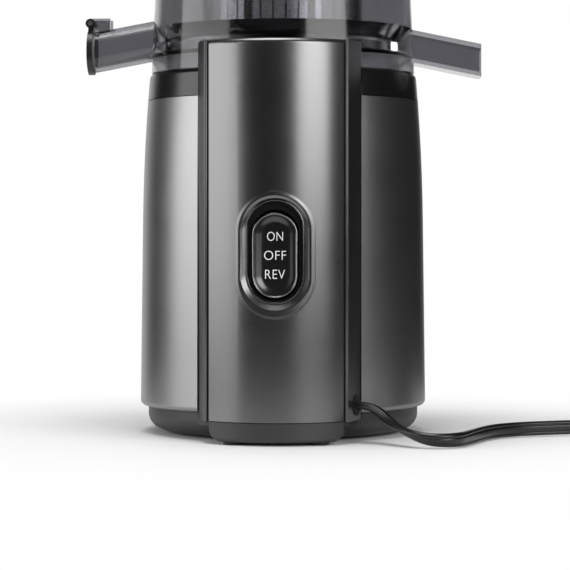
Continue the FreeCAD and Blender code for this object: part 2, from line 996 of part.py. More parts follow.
def cooling_fan():
    bottom = fan_bottom() + pinion_overlap
    top = bottom + fan_height
    parts = [rod(fan_hub, bottom, top), rod(fan_radius, top - fan_blade_thickness, top)]
    half = fan_blade_thickness / 2
    for number in range(fan_blades):
        blade = block(fan_hub - bite, fan_radius - fan_blade_inset, -half, half, bottom + fan_blade_inset, top)
        parts.append(blade.rotated(ORIGIN, Z_AXIS, 360 * number / fan_blades))
    return fused(parts).cut(rod(shaft_radius + press_fit, bottom, top))


# Gear train

def involute(angle):
    return math.tan(angle) - angle


def gear_outline(teeth):
    """Closed outline of an involute spur gear, with its first tooth along +X."""
    pitch_radius = gear_module * teeth / 2
    base = pitch_radius * math.cos(pressure_angle)
    tip = pitch_radius + gear_module
    root = pitch_radius - gear_dedendum * gear_module
    half_tooth = math.pi / (2 * teeth) - backlash / (2 * pitch_radius) + involute(pressure_angle)
    foot = max(base, root)
    flank = []
    spans = 5
    for step in range(spans + 1):
        radius = foot + (tip - foot) * step / spans
        flank.append((radius, half_tooth - involute(math.acos(min(1.0, base / radius)))))

    def at(radius, angle):
        return V(radius * math.cos(angle), radius * math.sin(angle), 0)

    edges = []
    for tooth in range(teeth):
        centre = 2 * math.pi * tooth / teeth
        following = centre + 2 * math.pi / teeth
        rising = [at(radius, centre - angle) for radius, angle in flank]
        falling = [at(radius, centre + angle) for radius, angle in reversed(flank)]
        for points in (rising, falling):
            curve = Part.BSplineCurve()
            curve.interpolate(points)
            edges.append(curve.toShape())
        edges.append(Part.Arc(rising[-1], at(tip, centre), falling[0]).toShape())
        foot_angle = flank[0][1]
        left = at(root, centre + foot_angle)
        right = at(root, following - foot_angle)
        if foot > root + touching:
            edges.append(Part.LineSegment(falling[-1], left).toShape())
            edges.append(Part.LineSegment(right, at(foot, following - foot_angle)).toShape())
        edges.append(Part.Arc(left, at(root, (centre + following) / 2), right).toShape())
    return Part.Wire(Part.__sortEdges__(edges))


def gear(teeth, bottom, top, bore, turn, x):
    """Spur gear about a vertical axis at (x, 0), turned by an angle in degrees."""
    wheel = Part.Face(gear_outline(teeth)).extrude(V(0, 0, top - bottom))
    wheel = wheel.rotated(ORIGIN, Z_AXIS, turn).translated(V(x, 0, bottom))
    return wheel.cut(rod(bore, bottom, top, x))


def half_pitch():
    return 180 / wheel_teeth


def motor_pinion():
    bottom = first_wheel_bottom - pinion_overlap
    return gear(pinion_teeth, bottom, first_wheel_top, shaft_radius + press_fit, 0, 0)


def idler_gear():
    bore = idler_pin_radius + running_fit
    return gear(wheel_teeth, first_wheel_bottom, first_wheel_top, bore, half_pitch(), gear_centres)


def idler_pinion():
    bore = idler_pin_radius + running_fit
    return gear(pinion_teeth, first_wheel_top, second_wheel_top + pinion_overlap, bore, 0, gear_centres)


def output_gear():
    return gear(wheel_teeth, second_wheel_bottom, second_wheel_top, drive_radius + press_fit, half_pitch(), 0)


def idler_pin():
    return rod(idler_pin_radius, gearbox_bottom, cover_top, gear_centres)


def hexagon(across_flats):
    corner = across_flats / math.sqrt(3)
    angles = [math.pi / 3 * number for number in range(6)]
    return [(corner * math.cos(angle), corner * math.sin(angle)) for angle in angles]


def drive_shaft():
    round_part = rod(drive_radius, second_wheel_bottom, deck_top)
    return round_part.fuse(prism(hexagon(drive_hex), deck_top, deck_top + drive_hex_rise))


def output_bushes():
    bore = drive_radius + running_fit
    low = tube(drive_bush_radius, bore, gearbox_top, gearbox_top + drive_bush_length)
    high = tube(drive_bush_radius, bore, drive_boss_top - drive_bush_length, drive_boss_top)
    return Part.makeCompound([low, high])


def gearbox_outline(radius):
    """Two round ends joined by flats, one about each gear axis."""
    return [
        (0, -radius),
        (gear_centres, -radius),
        (gear_centres + radius, 0, gear_centres, radius),
        (0, radius),
        (-radius, 0, 0, -radius),
    ]


def ear_places():
    low = ear_inset
    high = gear_centres - ear_inset
    return [(x, y * ear_side) for x in (low, high) for y in (-1, 1)]


def ears(bottom, top):
    solids = []
    for x, y in ear_places():
        solids.append(rod(ear_radius, bottom, top, x, y))
        inner = math.copysign(gearbox_inner, y)
        solids.append(block(x - ear_radius, x + ear_radius, min(y, inner), max(y, inner), bottom, top))
    return solids


def ear_holes(bottom, top):
    return [rod(gearbox_screw_radius + press_fit, bottom, top, x, y) for x, y in ear_places()]


def gearbox_housing():
    walls = prism(gearbox_outline(gearbox_outer), gearbox_bottom, gearbox_top)
    housing = fused([walls] + ears(gearbox_top - gearbox_wall, gearbox_top))
    cuts = [prism(gearbox_outline(gearbox_inner), gearbox_floor, gearbox_top)]
    cuts.append(rod(bush_radius, gearbox_bottom, gearbox_floor))
    cuts.append(rod(idler_pin_radius + press_fit, gearbox_bottom, gearbox_floor, gear_centres))
    for x, y in motor_screw_places():
        cuts.append(rod(motor_screw_radius + press_fit, gearbox_bottom, gearbox_floor, x, y))
    return housing.cut(Part.makeCompound(cuts + ear_holes(0, gearbox_top)))


def gearbox_cover():
    plate = prism(gearbox_outline(gearbox_outer), gearbox_top, cover_top)
    plate = fused([plate] + ears(gearbox_top, cover_top))
    boss = rod(drive_bush_radius + drive_boss_wall, gearbox_top, drive_boss_top)
    cover = plate.fuse(boss)
    cuts = [rod(drive_bush_radius + press_fit, gearbox_top, gearbox_top + drive_bush_length)]
    cuts.append(rod(drive_radius + bite, gearbox_top, drive_boss_top))
    cuts.append(rod(drive_bush_radius + press_fit, drive_boss_top - drive_bush_length, drive_boss_top))
    cuts.append(rod(idler_pin_radius + press_fit, gearbox_top, cover_top, gear_centres))
    return cover.cut(Part.makeCompound(cuts + ear_holes(gearbox_top, cover_top)))


def gearbox_screws():
    screws = []
    bottom = gearbox_top - gearbox_wall
    for x, y in ear_places():
        shank = rod(gearbox_screw_radius - press_fit, bottom, cover_top + gearbox_screw_reach, x, y)
        head = rod(2 * gearbox_screw_radius, bottom - gearbox_screw_radius, bottom, x, y)
        screws.append(shank.fuse(head))
    return Part.makeCompound(screws)


def motor_screws():
    screws = []
    for x, y in motor_screw_places():
        shank = rod(motor_screw_radius - press_fit, can_top + body_gap, gearbox_floor, x, y)
        head = rod(motor_screw_head, gearbox_floor, gearbox_floor + gear_spacing / 2, x, y)
        screws.append(shank.fuse(head))
    return Part.makeCompound(screws)


def shaft_seal():
    bottom = deck_under - seal_length
    return turned([
        (drive_radius + running_fit, bottom + seal_length / 3),
        (seal_radius - press_fit, bottom),
        (seal_radius - press_fit, deck_under),
        (drive_radius + running_fit, deck_under - seal_length / 3),
    ])


# Bowl, strainer and auger

def bowl_step():
    return collar_top + body_gap


def bowl_radius(level):
    share = (level - bowl_step()) / (bowl_rim - bowl_step())
    return bowl_base_radius + (bowl_rim_radius - bowl_base_radius) * share


def sector(outer, inner, bottom, top, start, spread):
    """Piece of a ring, from a start angle round by a spread, in degrees."""
    pie = Part.makeCylinder(outer, top - bottom, V(0, 0, bottom), Z_AXIS, spread)
    return pie.cut(rod(inner, bottom, top)).rotated(ORIGIN, Z_AXIS, start)


def bowl_cavity():
    well_top = column_top + body_gap + bowl_wall
    wide_level = well_top + (bowl_base_radius - bowl_well_radius) / 2
    wide = bowl_radius(wide_level) - bowl_wall
    return turned([
        (bowl_tube_radius, bowl_floor),
        (bowl_well_radius, bowl_floor),
        (bowl_well_radius, well_top),
        (wide, wide_level),
        (bowl_rim_radius - bowl_wall, bowl_rim),
        (0, bowl_rim),
        (0, bowl_tube_top),
        (bowl_tube_radius, bowl_tube_top),
    ])


def spout_bar(radius, start, end):
    """Round bar along the sloping juice spout, cut square at its outer end."""
    slope = spout_fall / (spout_reach - bowl_well_radius)
    along = V(-1, 0, -slope)
    place = V(-start, 0, spout_level - slope * (start - bowl_well_radius))
    bar = Part.makeCylinder(radius, 2 * spout_reach, place, along)
    return bar.common(block(-end, 0, -spout_reach, spout_reach, 0, chute_top))


def cap_pivot():
    level = spout_level - spout_fall + spout_radius + cap_margin + cap_knuckle + body_gap
    return V(-spout_reach - body_gap / 2 - gasket_height - cap_thickness / 2, 0, level)


def spout_ears():
    """Pair of eyes over the end of the juice spout that hold the cap's pin."""
    pivot = cap_pivot()
    root = pivot.x + spout_radius
    top = pivot.z + cap_knuckle
    hole = cap_pin_bar(cap_pin_radius + press_fit)
    eyes = []
    for side in (-1, 1):
        inner = side * (cap_ear_spread / 2 + body_gap)
        outer = inner + side * cap_ear
        low = min(inner, outer)
        high = max(inner, outer)
        eye = Part.makeCylinder(cap_knuckle, cap_ear, V(pivot.x, low, pivot.z), Y_AXIS)
        arm = block(pivot.x, root, low, high, pivot.z - cap_knuckle, top)
        riser = block(body_gap - spout_reach, root, low, high, pivot.z - spout_radius / 2, top)
        eyes.append(fused([eye, arm, riser]).cut(hole))
    return eyes


def front_reach():
    return -cap_pivot().x + cap_knuckle


def pulp_bar(margin, start, end):
    """Sloping duct of the pulp spout, grown by a margin."""
    inner = strainer_radius + strainer_rib + body_gap
    slope = pulp_fall / (front_reach() - inner)
    middle = bowl_floor + pulp_wall + pulp_height / 2
    half = pulp_height / 2 + margin
    side = pulp_width / 2 + margin
    steps = []
    for x, sign in ((start, 1), (end, 1), (end, -1), (start, -1)):
        steps.append((x, middle - slope * (x - inner) + sign * half))
    face = Part.Face(closed_wire(steps, lambda x, z: V(x, -side, z)))
    return face.extrude(V(0, 2 * side, 0))


def hook_starts():
    """Angles where the hooks and their lugs start round the rim."""
    return [hook_place - hook_angle / 2 + 360 * number / lid_hooks for number in range(lid_hooks)]


def bowl_lugs():
    low = hook_foot_top() + body_gap
    inner = bowl_rim_radius - bowl_wall / 2
    return [sector(lug_radius(), inner, low, low + lug_height, start, hook_angle) for start in hook_starts()]


def juice_bowl():
    foot = collar_seat_radius - bowl_foot_gap
    inner = strainer_radius + strainer_rib + body_gap
    outer = turned([
        (0, bowl_bottom),
        (foot, bowl_bottom),
        (foot, bowl_step()),
        (bowl_base_radius, bowl_step()),
        (bowl_rim_radius, bowl_rim),
        (0, bowl_rim),
    ])
    spout = spout_bar(spout_radius, bowl_well_radius, spout_reach)
    hollow = outer.multiFuse([spout] + spout_ears() + bowl_lugs()).cut(bowl_cavity())
    hollow = hollow.fuse(pulp_bar(pulp_wall, inner, front_reach()))
    under = tube(foot - bowl_wall, bowl_tube_radius, bowl_bottom, bowl_floor - bowl_wall)
    notch = prism(frame_outline(body_gap), bowl_bottom, column_top + body_gap)
    head = prism(panel_outline(-body_gap, frame_back), bowl_bottom, column_top + body_gap)
    cuts = [under, notch, head, far_side(notch), far_side(head)]
    cuts.append(rod(bowl_tube_bore, bowl_bottom, bowl_tube_top))
    cuts.append(spout_bar(spout_bore, bowl_well_radius - spout_bore, spout_reach))
    cuts.append(pulp_bar(0, strainer_radius, front_reach() + bite))
    return hollow.cut(Part.makeCompound(cuts)).removeSplitter()


def bowl_seal():
    bore = drive_hex / math.sqrt(3) + body_gap
    top = bowl_tube_top - bowl_seal_length
    return tube(bowl_tube_bore - press_fit, bore, top - bowl_seal_length, top)


def pulp_window():
    low = bowl_floor + pulp_wall
    return block(0, 2 * strainer_radius, -pulp_width / 2, pulp_width / 2, low, low + pulp_height)


def strainer_frame():
    outer = strainer_radius + strainer_rib
    inner = auger_radius + 2 * body_gap
    parts = [tube(outer, inner, strainer_bottom, screen_bottom), tube(outer, inner, screen_top, strainer_top)]
    half = strainer_rib / 2
    rib_inner = strainer_radius + press_fit
    for number in range(strainer_ribs):
        rib = block(rib_inner, outer - strainer_rib_inset, -half, half, screen_bottom, screen_top)
        parts.append(rib.rotated(ORIGIN, Z_AXIS, 360 * (number + 0.5) / strainer_ribs))
    return fused(parts).cut(pulp_window())


def strainer_screen():
    screen = tube(strainer_radius, strainer_radius - screen_thickness, screen_bottom, screen_top)
    low = screen_bottom + strainer_ring
    high = screen_top - strainer_ring / 2
    half = screen_slot_width / 2
    slots = []
    for number in range(screen_slots):
        slot = block(strainer_radius - strainer_rib, strainer_radius + bite, -half, half, low, high)
        slots.append(slot.rotated(ORIGIN, Z_AXIS, 360 * (number + 0.5) / screen_slots))
    return screen.cut(Part.makeCompound(slots + [pulp_window()]))


def auger_flight_solid():
    bottom = auger_bottom + auger_foot
    height = auger_top - bottom - auger_flight
    middle = (auger_radius + auger_core_top) / 2
    helix = Part.makeHelix(auger_pitch, height, middle)
    half = auger_flight / 2
    root = auger_core_top / 2
    tip = auger_radius
    section = closed_wire([(root, -half), (tip, -half / 2), (tip, half / 2), (root, half)], lathe)
    flight = Part.Wire(helix).makePipeShell([section], True, True)
    return flight.translated(V(0, 0, bottom + half))


def auger():
    skirt = auger_radius - 2 * body_gap
    waist_level = auger_bottom + auger_foot + auger_core_waist
    core = turned([
        (0, auger_bottom),
        (skirt, auger_bottom),
        (skirt, auger_bottom + auger_foot),
        (auger_core_waist, waist_level),
        (auger_core_top, auger_top),
        (auger_pin_radius, auger_top),
        (auger_pin_radius, auger_top + auger_pin_length),
        (0, auger_top + auger_pin_length),
    ])
    solid = core.fuse(auger_flight_solid())
    cup = rod(bowl_tube_radius + 2 * body_gap, auger_bottom, socket_bottom)
    seat = rod(socket_radius + press_fit, auger_bottom, socket_bottom + socket_length)
    return solid.cut(Part.makeCompound([cup, seat]))


def auger_socket():
    bore = prism(hexagon(drive_hex + 2 * running_fit), socket_bottom, deck_top + drive_hex_rise + body_gap)
    return rod(socket_radius, socket_bottom, socket_bottom + socket_length).cut(bore)


def cap_disc(radius, start, thickness):
    level = spout_level - spout_fall
    return Part.makeCylinder(radius, thickness, V(-spout_reach - body_gap / 2 - start, 0, level), -X_AXIS)


def spout_cap():
    pivot = cap_pivot()
    radius = spout_radius + cap_margin
    plate = cap_disc(radius, gasket_height, cap_thickness)
    half = cap_ear_spread / 2
    knuckle = Part.makeCylinder(cap_knuckle, cap_ear_spread, V(pivot.x, -half, pivot.z), Y_AXIS)
    inside = pivot.x + cap_thickness / 2
    neck_low = pivot.z - 2 * cap_knuckle - cap_margin
    neck = block(inside - cap_thickness, inside, -half, half, neck_low, pivot.z)
    bore = Part.makeCylinder(cap_pin_radius + running_fit, cap_ear_spread, V(pivot.x, -half, pivot.z), Y_AXIS)
    return fused([plate, knuckle, neck]).cut(bore)


def cap_gasket():
    return cap_disc(spout_radius, 0, gasket_height)


def cap_pin_bar(radius):
    pivot = cap_pivot()
    half = cap_ear_spread / 2 + body_gap + cap_ear
    return Part.makeCylinder(radius, 2 * half, V(pivot.x, -half, pivot.z), Y_AXIS)


def cap_pin():
    return cap_pin_bar(cap_pin_radius)


# Lid and pusher

def hook_foot_top():
    return lid_under - hook_drop + hook_thickness


def lug_radius():
    return bowl_radius(hook_foot_top()) + lug_reach


def skirt_inner():
    return bowl_radius(lid_under - lid_skirt_drop) + body_gap


def lid_hook(start):
    leg_inner = lug_radius() + body_gap
    leg_outer = leg_inner + hook_thickness
    foot_inner = bowl_radius(lid_under - hook_drop) + body_gap
    hook = sector(leg_outer, foot_inner, lid_under - hook_drop, lid_top - bite, start, hook_angle)
    return hook.cut(rod(leg_inner, hook_foot_top(), lid_under - lid_skirt_drop))


def lid():
    outer = skirt_inner() + lid_skirt
    turn = lid_skirt * (1 - math.sqrt(0.5))
    shell = turned([
        (0, lid_under),
        (skirt_inner(), lid_under),
        (skirt_inner(), lid_under - lid_skirt_drop),
        (outer, lid_under - lid_skirt_drop),
        (outer, lid_top - lid_skirt),
        (outer - turn, lid_top - turn, outer - lid_skirt, lid_top),
        (0, lid_top),
    ])
    boss = rod(auger_pin_radius + casing_wall, auger_top + 2 * body_gap, lid_under)
    chute = rod(chute_radius + chute_wall, lid_under, chute_top, chute_offset)
    rim = rod(chute_radius + chute_wall + chute_rim, chute_top - chute_rim, chute_top, chute_offset)
    solid = fused([shell, boss, chute, rim] + [lid_hook(start) for start in hook_starts()])
    bore = rod(auger_pin_radius + running_fit, auger_bottom, auger_top + auger_pin_length + body_gap)
    return solid.cut(Part.makeCompound([bore, rod(chute_radius, lid_under, chute_top, chute_offset)]))


def lid_gasket():
    return tube(bowl_rim_radius, bowl_rim_radius - gasket_width, lid_under - gasket_height, lid_under)


def pusher():
    radius = chute_radius - pusher_gap
    flange = chute_radius + chute_wall + pusher_cap_rim
    cap_top = pusher_seat + pusher_cap_height
    bend = pusher_crown * (1 - math.sqrt(0.5))
    solid = turned([
        (0, pusher_seat - pusher_length),
        (radius, pusher_seat - pusher_length),
        (radius, pusher_seat),
        (flange, pusher_seat),
        (flange, cap_top),
        (flange - bend, cap_top + pusher_crown - bend, flange - pusher_crown, cap_top + pusher_crown),
        (0, cap_top + pusher_crown),
    ])
    return solid.translated(V(chute_offset, 0, 0))


# Cord, coil and plug

def cord_out():
    """Outward direction of the slanted column wall that the cord leaves."""
    rise = panel_edge - frame_root
    run = rear_shell_edge - shell_edge_gap - frame_half_width
    return V(rise, -run, 0).normalize()


def cord_wall_point():
    share = (cord_exit_place - frame_root) / (panel_edge - frame_root)
    wall = rear_shell_edge - shell_edge_gap
    return V(wall + (frame_half_width - wall) * share, -cord_exit_place, cord_exit_height)


def cord_section(place, along, margin):
    """Stadium outline of the flat cord, its wide side upright, square to a direction."""
    side = along.cross(Z_AXIS).normalize()
    up = side.cross(along).normalize()
    radius = cord_thickness / 2 + margin
    reach = (cord_width - cord_thickness) / 2
    steps = [
        (radius, -reach),
        (radius, reach),
        (0, reach + radius, -radius, reach),
        (-radius, -reach),
        (0, -reach - radius, radius, -reach),
    ]
    return closed_wire(steps, lambda a, b: place + side * a + up * b)


def grommet_bar(outset, inset, margin):
    along = cord_out()
    start = cord_wall_point() + along * outset
    return Part.Face(cord_section(start, along, margin)).extrude(along * -(outset + inset))


def cord_grommet():
    body = grommet_bar(0, grommet_length, grommet_margin - press_fit)
    return fused([body, grommet_bar(grommet_flange, 0, 2 * grommet_margin)])


def coil_low():
    return tie_thickness + tie_room + cord_width / 2


def cord_route():
    """Points of the free cord from the column wall, down to the table and out to the coil."""
    start = cord_wall_point() + cord_out() * grommet_flange
    end = V(coil_x, coil_y - coil_outer, coil_low())
    chosen = [
        (57.9, -82.9, 19.2),
        (63.9, -88.7, 15.2),
        (70.1, -95.8, 9.6),
        (78.0, -102.9, 5.6),
        (87.2, -107.9, 4.4),
        (97.7, -109.6, 4.4),
        (108.0, -107.0, 4.4),
        (116.6, -100.8, 4.4),
        (122.2, -91.6, 4.4),
        (124.6, -79.0, 4.4),
        (128.4, -63.4, 4.4),
        (137.8, -48.4, 4.5),
        (154.6, -37.2, 4.7),
        (176.2, -30.6, 5.1),
    ]
    points = [start, start + cord_out() * cord_stub]
    points += [V(*point) for point in chosen]
    return points + [end - X_AXIS * coil_lead, end]


def rounded_path(points):
    """Straight runs joined by the largest tangent arcs that fit; returns the wire and the arcs' radii."""
    edges = []
    radii = []
    here = points[0]
    for before, corner, after in zip(points, points[1:], points[2:]):
        back = before - corner
        ahead = after - corner
        cut = cord_bend_share * min(back.Length, ahead.Length)
        turn = math.pi - back.getAngle(ahead)
        radius = cut / math.tan(turn / 2)
        start = corner + back.normalize() * cut
        end = corner + ahead.normalize() * cut
        chord = (start + end) * 0.5
        inward = chord - corner
        middle = chord - inward.normalize() * (radius * (1 - math.cos(turn / 2)))
        edges.append(Part.LineSegment(here, start).toShape())
        edges.append(Part.Arc(start, middle, end).toShape())
        radii.append(radius)
        here = end
    edges.append(Part.LineSegment(here, points[-1]).toShape())
    return Part.Wire(edges), radii


def power_cord():
    points = cord_route()
    path, radii = rounded_path(points)
    section = cord_section(points[0], points[1] - points[0], 0)
    solid = path.makePipeShell([section], True, False)
    area = Part.Face(section).Area
    print("cord radii", [round(radius, 1) for radius in radii])
    share = solid.Volume / (area * path.Length)
    print("cord length", round(path.Length, 1), "volume share", round(share, 4))
    return solid


def coil_total():
    return coil_first_turns + coil_climb_turns + coil_last_turns


def coil_radius(turn):
    """Inward at a steady rate to the middle of the climb, then outward again."""
    reversal = coil_first_turns + coil_climb_turns / 2
    return coil_outer - coil_step * (reversal - abs(turn - reversal))


def coil_level(turn):
    share = min(1, max(0, (turn - coil_first_turns) / coil_climb_turns))
    return coil_low() + coil_layer * share * share * (3 - 2 * share)


def coil_point(turn):
    angle = 2 * math.pi * turn - math.pi / 2
    radius = coil_radius(turn)
    return V(coil_x + radius * math.cos(angle), coil_y + radius * math.sin(angle), coil_level(turn))


def coil_heading(turn):
    """Unit direction of the coil: square at its ends, by differences between them."""
    if turn in (0, coil_total()):
        angle = 2 * math.pi * turn
        return V(math.cos(angle), math.sin(angle), 0)
    small = 0.01
    return (coil_point(turn + small) - coil_point(turn - small)).normalize()


def arc_edge(start, bend, end):
    """Arc from start to end that is tangent to the lines from both to the bend."""
    chord = (start + end) * 0.5
    half = start.distanceToPoint(end) / 2
    out = bend - chord
    turn = 2 * math.atan2(out.Length, half)
    middle = chord + out * (half * math.tan(turn / 4) / out.Length)
    return Part.Arc(start, middle, end).toShape()


def biarc(start, heading, end, end_heading):
    """Two arcs that leave start and reach end in the given directions."""
    across = end - start
    both = heading + end_heading
    square = 2 * (1 - heading.dot(end_heading))
    reach = across.dot(both)
    arm = (-reach + math.sqrt(reach ** 2 + square * across.dot(across))) / square
    first = start + heading * arm
    last = end - end_heading * arm
    joint = (first + last) * 0.5
    return [arc_edge(start, first, joint), arc_edge(joint, last, end)]


def coil_path():
    steps = round(coil_total() * 4)
    turns = [coil_total() * step / steps for step in range(steps + 1)]
    edges = []
    for turn, following in zip(turns, turns[1:]):
        edges += biarc(coil_point(turn), coil_heading(turn), coil_point(following), coil_heading(following))
    end = coil_point(coil_total())
    edges.append(Part.LineSegment(end, end + coil_heading(coil_total()) * coil_tail).toShape())
    return Part.Wire(edges)


def coil_self_gap():
    """Least gap between turns of the coil, from points along it at least half a turn apart."""
    count = 120
    places = []
    for step in range(round(coil_total() * count) + 1):
        places.append((step / count, coil_point(step / count)))
    least = 1e9
    for turn, place in places:
        for other, there in places:
            if other - turn > 0.5:
                apart = there - place
                sideways = math.hypot(apart.x, apart.y) - cord_thickness
                upward = abs(apart.z) - cord_width
                least = min(least, max(sideways, upward))
    return least


def cord_coil():
    path = coil_path()
    section = cord_section(coil_point(0), coil_heading(0), 0)
    solid = path.makePipeShell([section], True, False)
    area = Part.Face(section).Area
    share = solid.Volume / (area * path.Length)
    print("coil length", round(path.Length, 1), "volume share", round(share, 4))
    print("coil least self gap", round(coil_self_gap(), 2))
    return solid


def coil_tie():
    least = coil_radius(coil_first_turns + coil_climb_turns / 2)
    sag = tie_width ** 2 / (8 * least)
    inner = least - cord_thickness / 2 - tie_room - sag
    outer = coil_radius(coil_total()) + cord_thickness / 2 + tie_room
    top = coil_low() + coil_layer + cord_width / 2 + tie_room
    half = tie_width / 2
    band = block(inner - tie_thickness, outer + tie_thickness, -half, half, 0, top + tie_thickness)
    band = band.cut(block(inner, outer, -half, half, tie_thickness, top))
    return band.rotated(ORIGIN, Z_AXIS, tie_angle).translated(V(coil_x, coil_y, 0))


def plug_start():
    return coil_point(coil_total()) + coil_heading(coil_total()) * coil_tail


def plug_body():
    place = plug_start()
    half = plug_width / 2
    body = block(place.x - half, place.x + half, place.y, place.y + plug_length, 0, 2 * place.z)
    long_edges = [edge for edge in body.Edges if edge.BoundBox.YLength > plug_length / 2]
    return body.makeFillet(plug_round, long_edges)


def plug_blades():
    place = plug_start()
    face = place.y + plug_length
    left = place.x - blade_width / 2
    blades = []
    for side in (-1, 1):
        low = place.z + (side * blade_spacing - blade_thickness) / 2
        blades.append(block(left, left + blade_width, face, face + blade_length, low, low + blade_thickness))
    return Part.makeCompound(blades)


pieces = [
    front_shell, rear_shell, switch_column_cover, switch_column_frame, top_collar, base_pan, rubber_feet,
    pan_screws, switch_bezel, rocker, rocker_pin, switch_body, control_board, board_screws, cord_grommet,
    motor_can, motor_end_bell, motor_bushes, motor_magnets, brush_holder, carbon_brushes, motor_screws,
    rotor_core, rotor_windings, commutator, rotor_shaft, motor_pinion, cooling_fan,
    gearbox_housing, gearbox_cover, gearbox_screws, idler_pin, idler_gear, idler_pinion,
    output_gear, drive_shaft, output_bushes, shaft_seal,
    juice_bowl, bowl_seal, strainer_frame, strainer_screen, auger, auger_socket,
    spout_cap, cap_gasket, cap_pin, lid, lid_gasket, pusher,
    power_cord, cord_coil, coil_tie, plug_body, plug_blades,
]

solids = {piece.__name__: piece() for piece in pieces}
solids["far_column_cover"] = far_side(column_cover())
solids["far_column_frame"] = far_side(column_frame())

os.makedirs("parts", exist_ok=True)
for name, solid in solids.items():
    box = solid.BoundBox
    if not solid.isValid():
        print("not valid", name)
    print(name, len(solid.Solids), round(solid.Volume, 1), round(box.ZMin, 2), round(box.ZMax, 2))
    solid.exportStep("parts/" + name + ".step")
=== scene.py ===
import json
import math

import bmesh
import bpy
from mathutils import Matrix, Vector


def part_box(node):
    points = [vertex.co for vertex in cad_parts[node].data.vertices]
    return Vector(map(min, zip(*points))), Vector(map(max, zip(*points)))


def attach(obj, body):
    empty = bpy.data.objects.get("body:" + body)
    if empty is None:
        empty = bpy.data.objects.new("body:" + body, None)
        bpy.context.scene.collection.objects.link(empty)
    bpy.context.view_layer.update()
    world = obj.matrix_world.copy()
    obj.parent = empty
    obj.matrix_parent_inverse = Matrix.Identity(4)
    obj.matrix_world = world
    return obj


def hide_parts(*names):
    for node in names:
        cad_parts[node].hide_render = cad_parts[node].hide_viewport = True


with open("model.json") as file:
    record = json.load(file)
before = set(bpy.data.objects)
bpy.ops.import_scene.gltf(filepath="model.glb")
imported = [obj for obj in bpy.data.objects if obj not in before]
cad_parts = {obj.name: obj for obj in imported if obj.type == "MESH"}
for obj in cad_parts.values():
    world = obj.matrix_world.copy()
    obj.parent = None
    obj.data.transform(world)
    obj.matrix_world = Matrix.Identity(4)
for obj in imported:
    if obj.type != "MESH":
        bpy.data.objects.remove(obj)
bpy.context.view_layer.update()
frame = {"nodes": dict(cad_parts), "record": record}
nodes = frame["nodes"]
slot_of = {row["node"]: row["material_slot"] for row in frame["record"]["subparts"]}
scene = bpy.context.scene
mm = 0.001

# The photograph's framing
photo_pixels = 570
focal_pixels = 2170
axis_pixel = 283
horizon_pixel = 230
camera_distance = 1.300
camera_height = 0.1195
camera_turn = math.radians(2.5)
sensor_width = 36.0

# The lead: its flat section with two fine grooves, and its points, which repeat the route of the model
cord_width = 8.2 * mm
cord_thickness = 4.4 * mm
cord_groove = 0.25
cord_groove_place = 2.1 * mm
cord_groove_width = 0.45 * mm
cord_roundness = 0.6
cord_profile_points = 112
cord_line_steps = 6
cord_route = [
    (0.04568, -0.07746, 0.0210),
    (0.05134, -0.07944, 0.0208),
    (0.05780, -0.08300, 0.0178),
    (0.06340, -0.08900, 0.0128),
    (0.06920, -0.09740, 0.0094),
    (0.07630, -0.10600, 0.0066),
    (0.08500, -0.11020, 0.0048),
    (0.09420, -0.10960, 0.0044),
    (0.10150, -0.10430, 0.0044),
    (0.10540, -0.09560, 0.0044),
    (0.10980, -0.08440, 0.0044),
    (0.11480, -0.07060, 0.0044),
    (0.12060, -0.05760, 0.0044),
    (0.12920, -0.04740, 0.0045),
    (0.14160, -0.03960, 0.0046),
    (0.15800, -0.03400, 0.0048),
    (0.17800, -0.03000, 0.0051),
    (0.20300, -0.02800, 0.0054),
]

# Turn of the lead at its first points, in degrees: it leaves the wall lying flat and then stands on edge
cord_tilts = [90, 90, 86, 78, 66, 54, 42, 30, 20, 10, 0]

# The coil: turns inward on the floor, a climb, turns outward a layer up, and a straight tail
coil_centre = Vector((0.228, 0.020, 0.0054))
coil_outer = 0.048
coil_step = 7.5 * mm
coil_layer = 9.4 * mm
coil_first_turns = 1.25
coil_climb_turns = 0.5
coil_last_turns = 1.5
coil_points_a_turn = 24
coil_tail = 0.036
coil_tail_points = 3

# Lettering of the key: word, rise of its middle over the middle of the key, and width
lettering = [("ON", 10.5 * mm, 8.8 * mm), ("OFF", 0.0, 12.1 * mm), ("REV", -10.5 * mm, 11.0 * mm)]
cap_height = 5.0 * mm
print_height = 0.10 * mm
print_weight = -0.013
print_spacing = 1.06

# The key: how far it narrows at its back, the depth of its straight side, its half-round rim, the slope
# inside the rim, the depth of the dish, and the steps of each round stretch
key_back_inset = 0.4 * mm
key_side_depth = 1.9 * mm
key_rim = 0.35 * mm
key_margin = 5.4 * mm
key_dish = 1.4 * mm
key_steps = 8

# The bead on each rim of a column frame: its distances from the middle, its width, the share of that in
# its round corners, and the length and depth of its tapered ends
bead_side = 39.3 * mm
bead_face = 88.5 * mm
bead_width = 1.5 * mm
bead_corner = 0.45
bead_end = 0.4 * mm
bead_taper = 0.2 * mm

# The roll round the switch dish: the arch that it lies on, the size of the dish, and its section as
# distances out from the dish's edge and rises over the arch, in mm
arch_radius = 57.17 * mm
lip_width = 39.7 * mm
lip_height = 66.0 * mm
lip_sections = (
    (-1.6, -1.2), (-1.5, -0.91), (-1.1, -0.60), (-0.7, -0.33), (-0.35, -0.12), (0.0, 0.04), (0.35, 0.13),
    (0.75, 0.16), (1.15, 0.13), (1.6, 0.075), (2.05, 0.03), (2.4, 0.005), (2.6, -0.02), (2.6, -0.20),
)

# Points round a loop
loop_points = 64

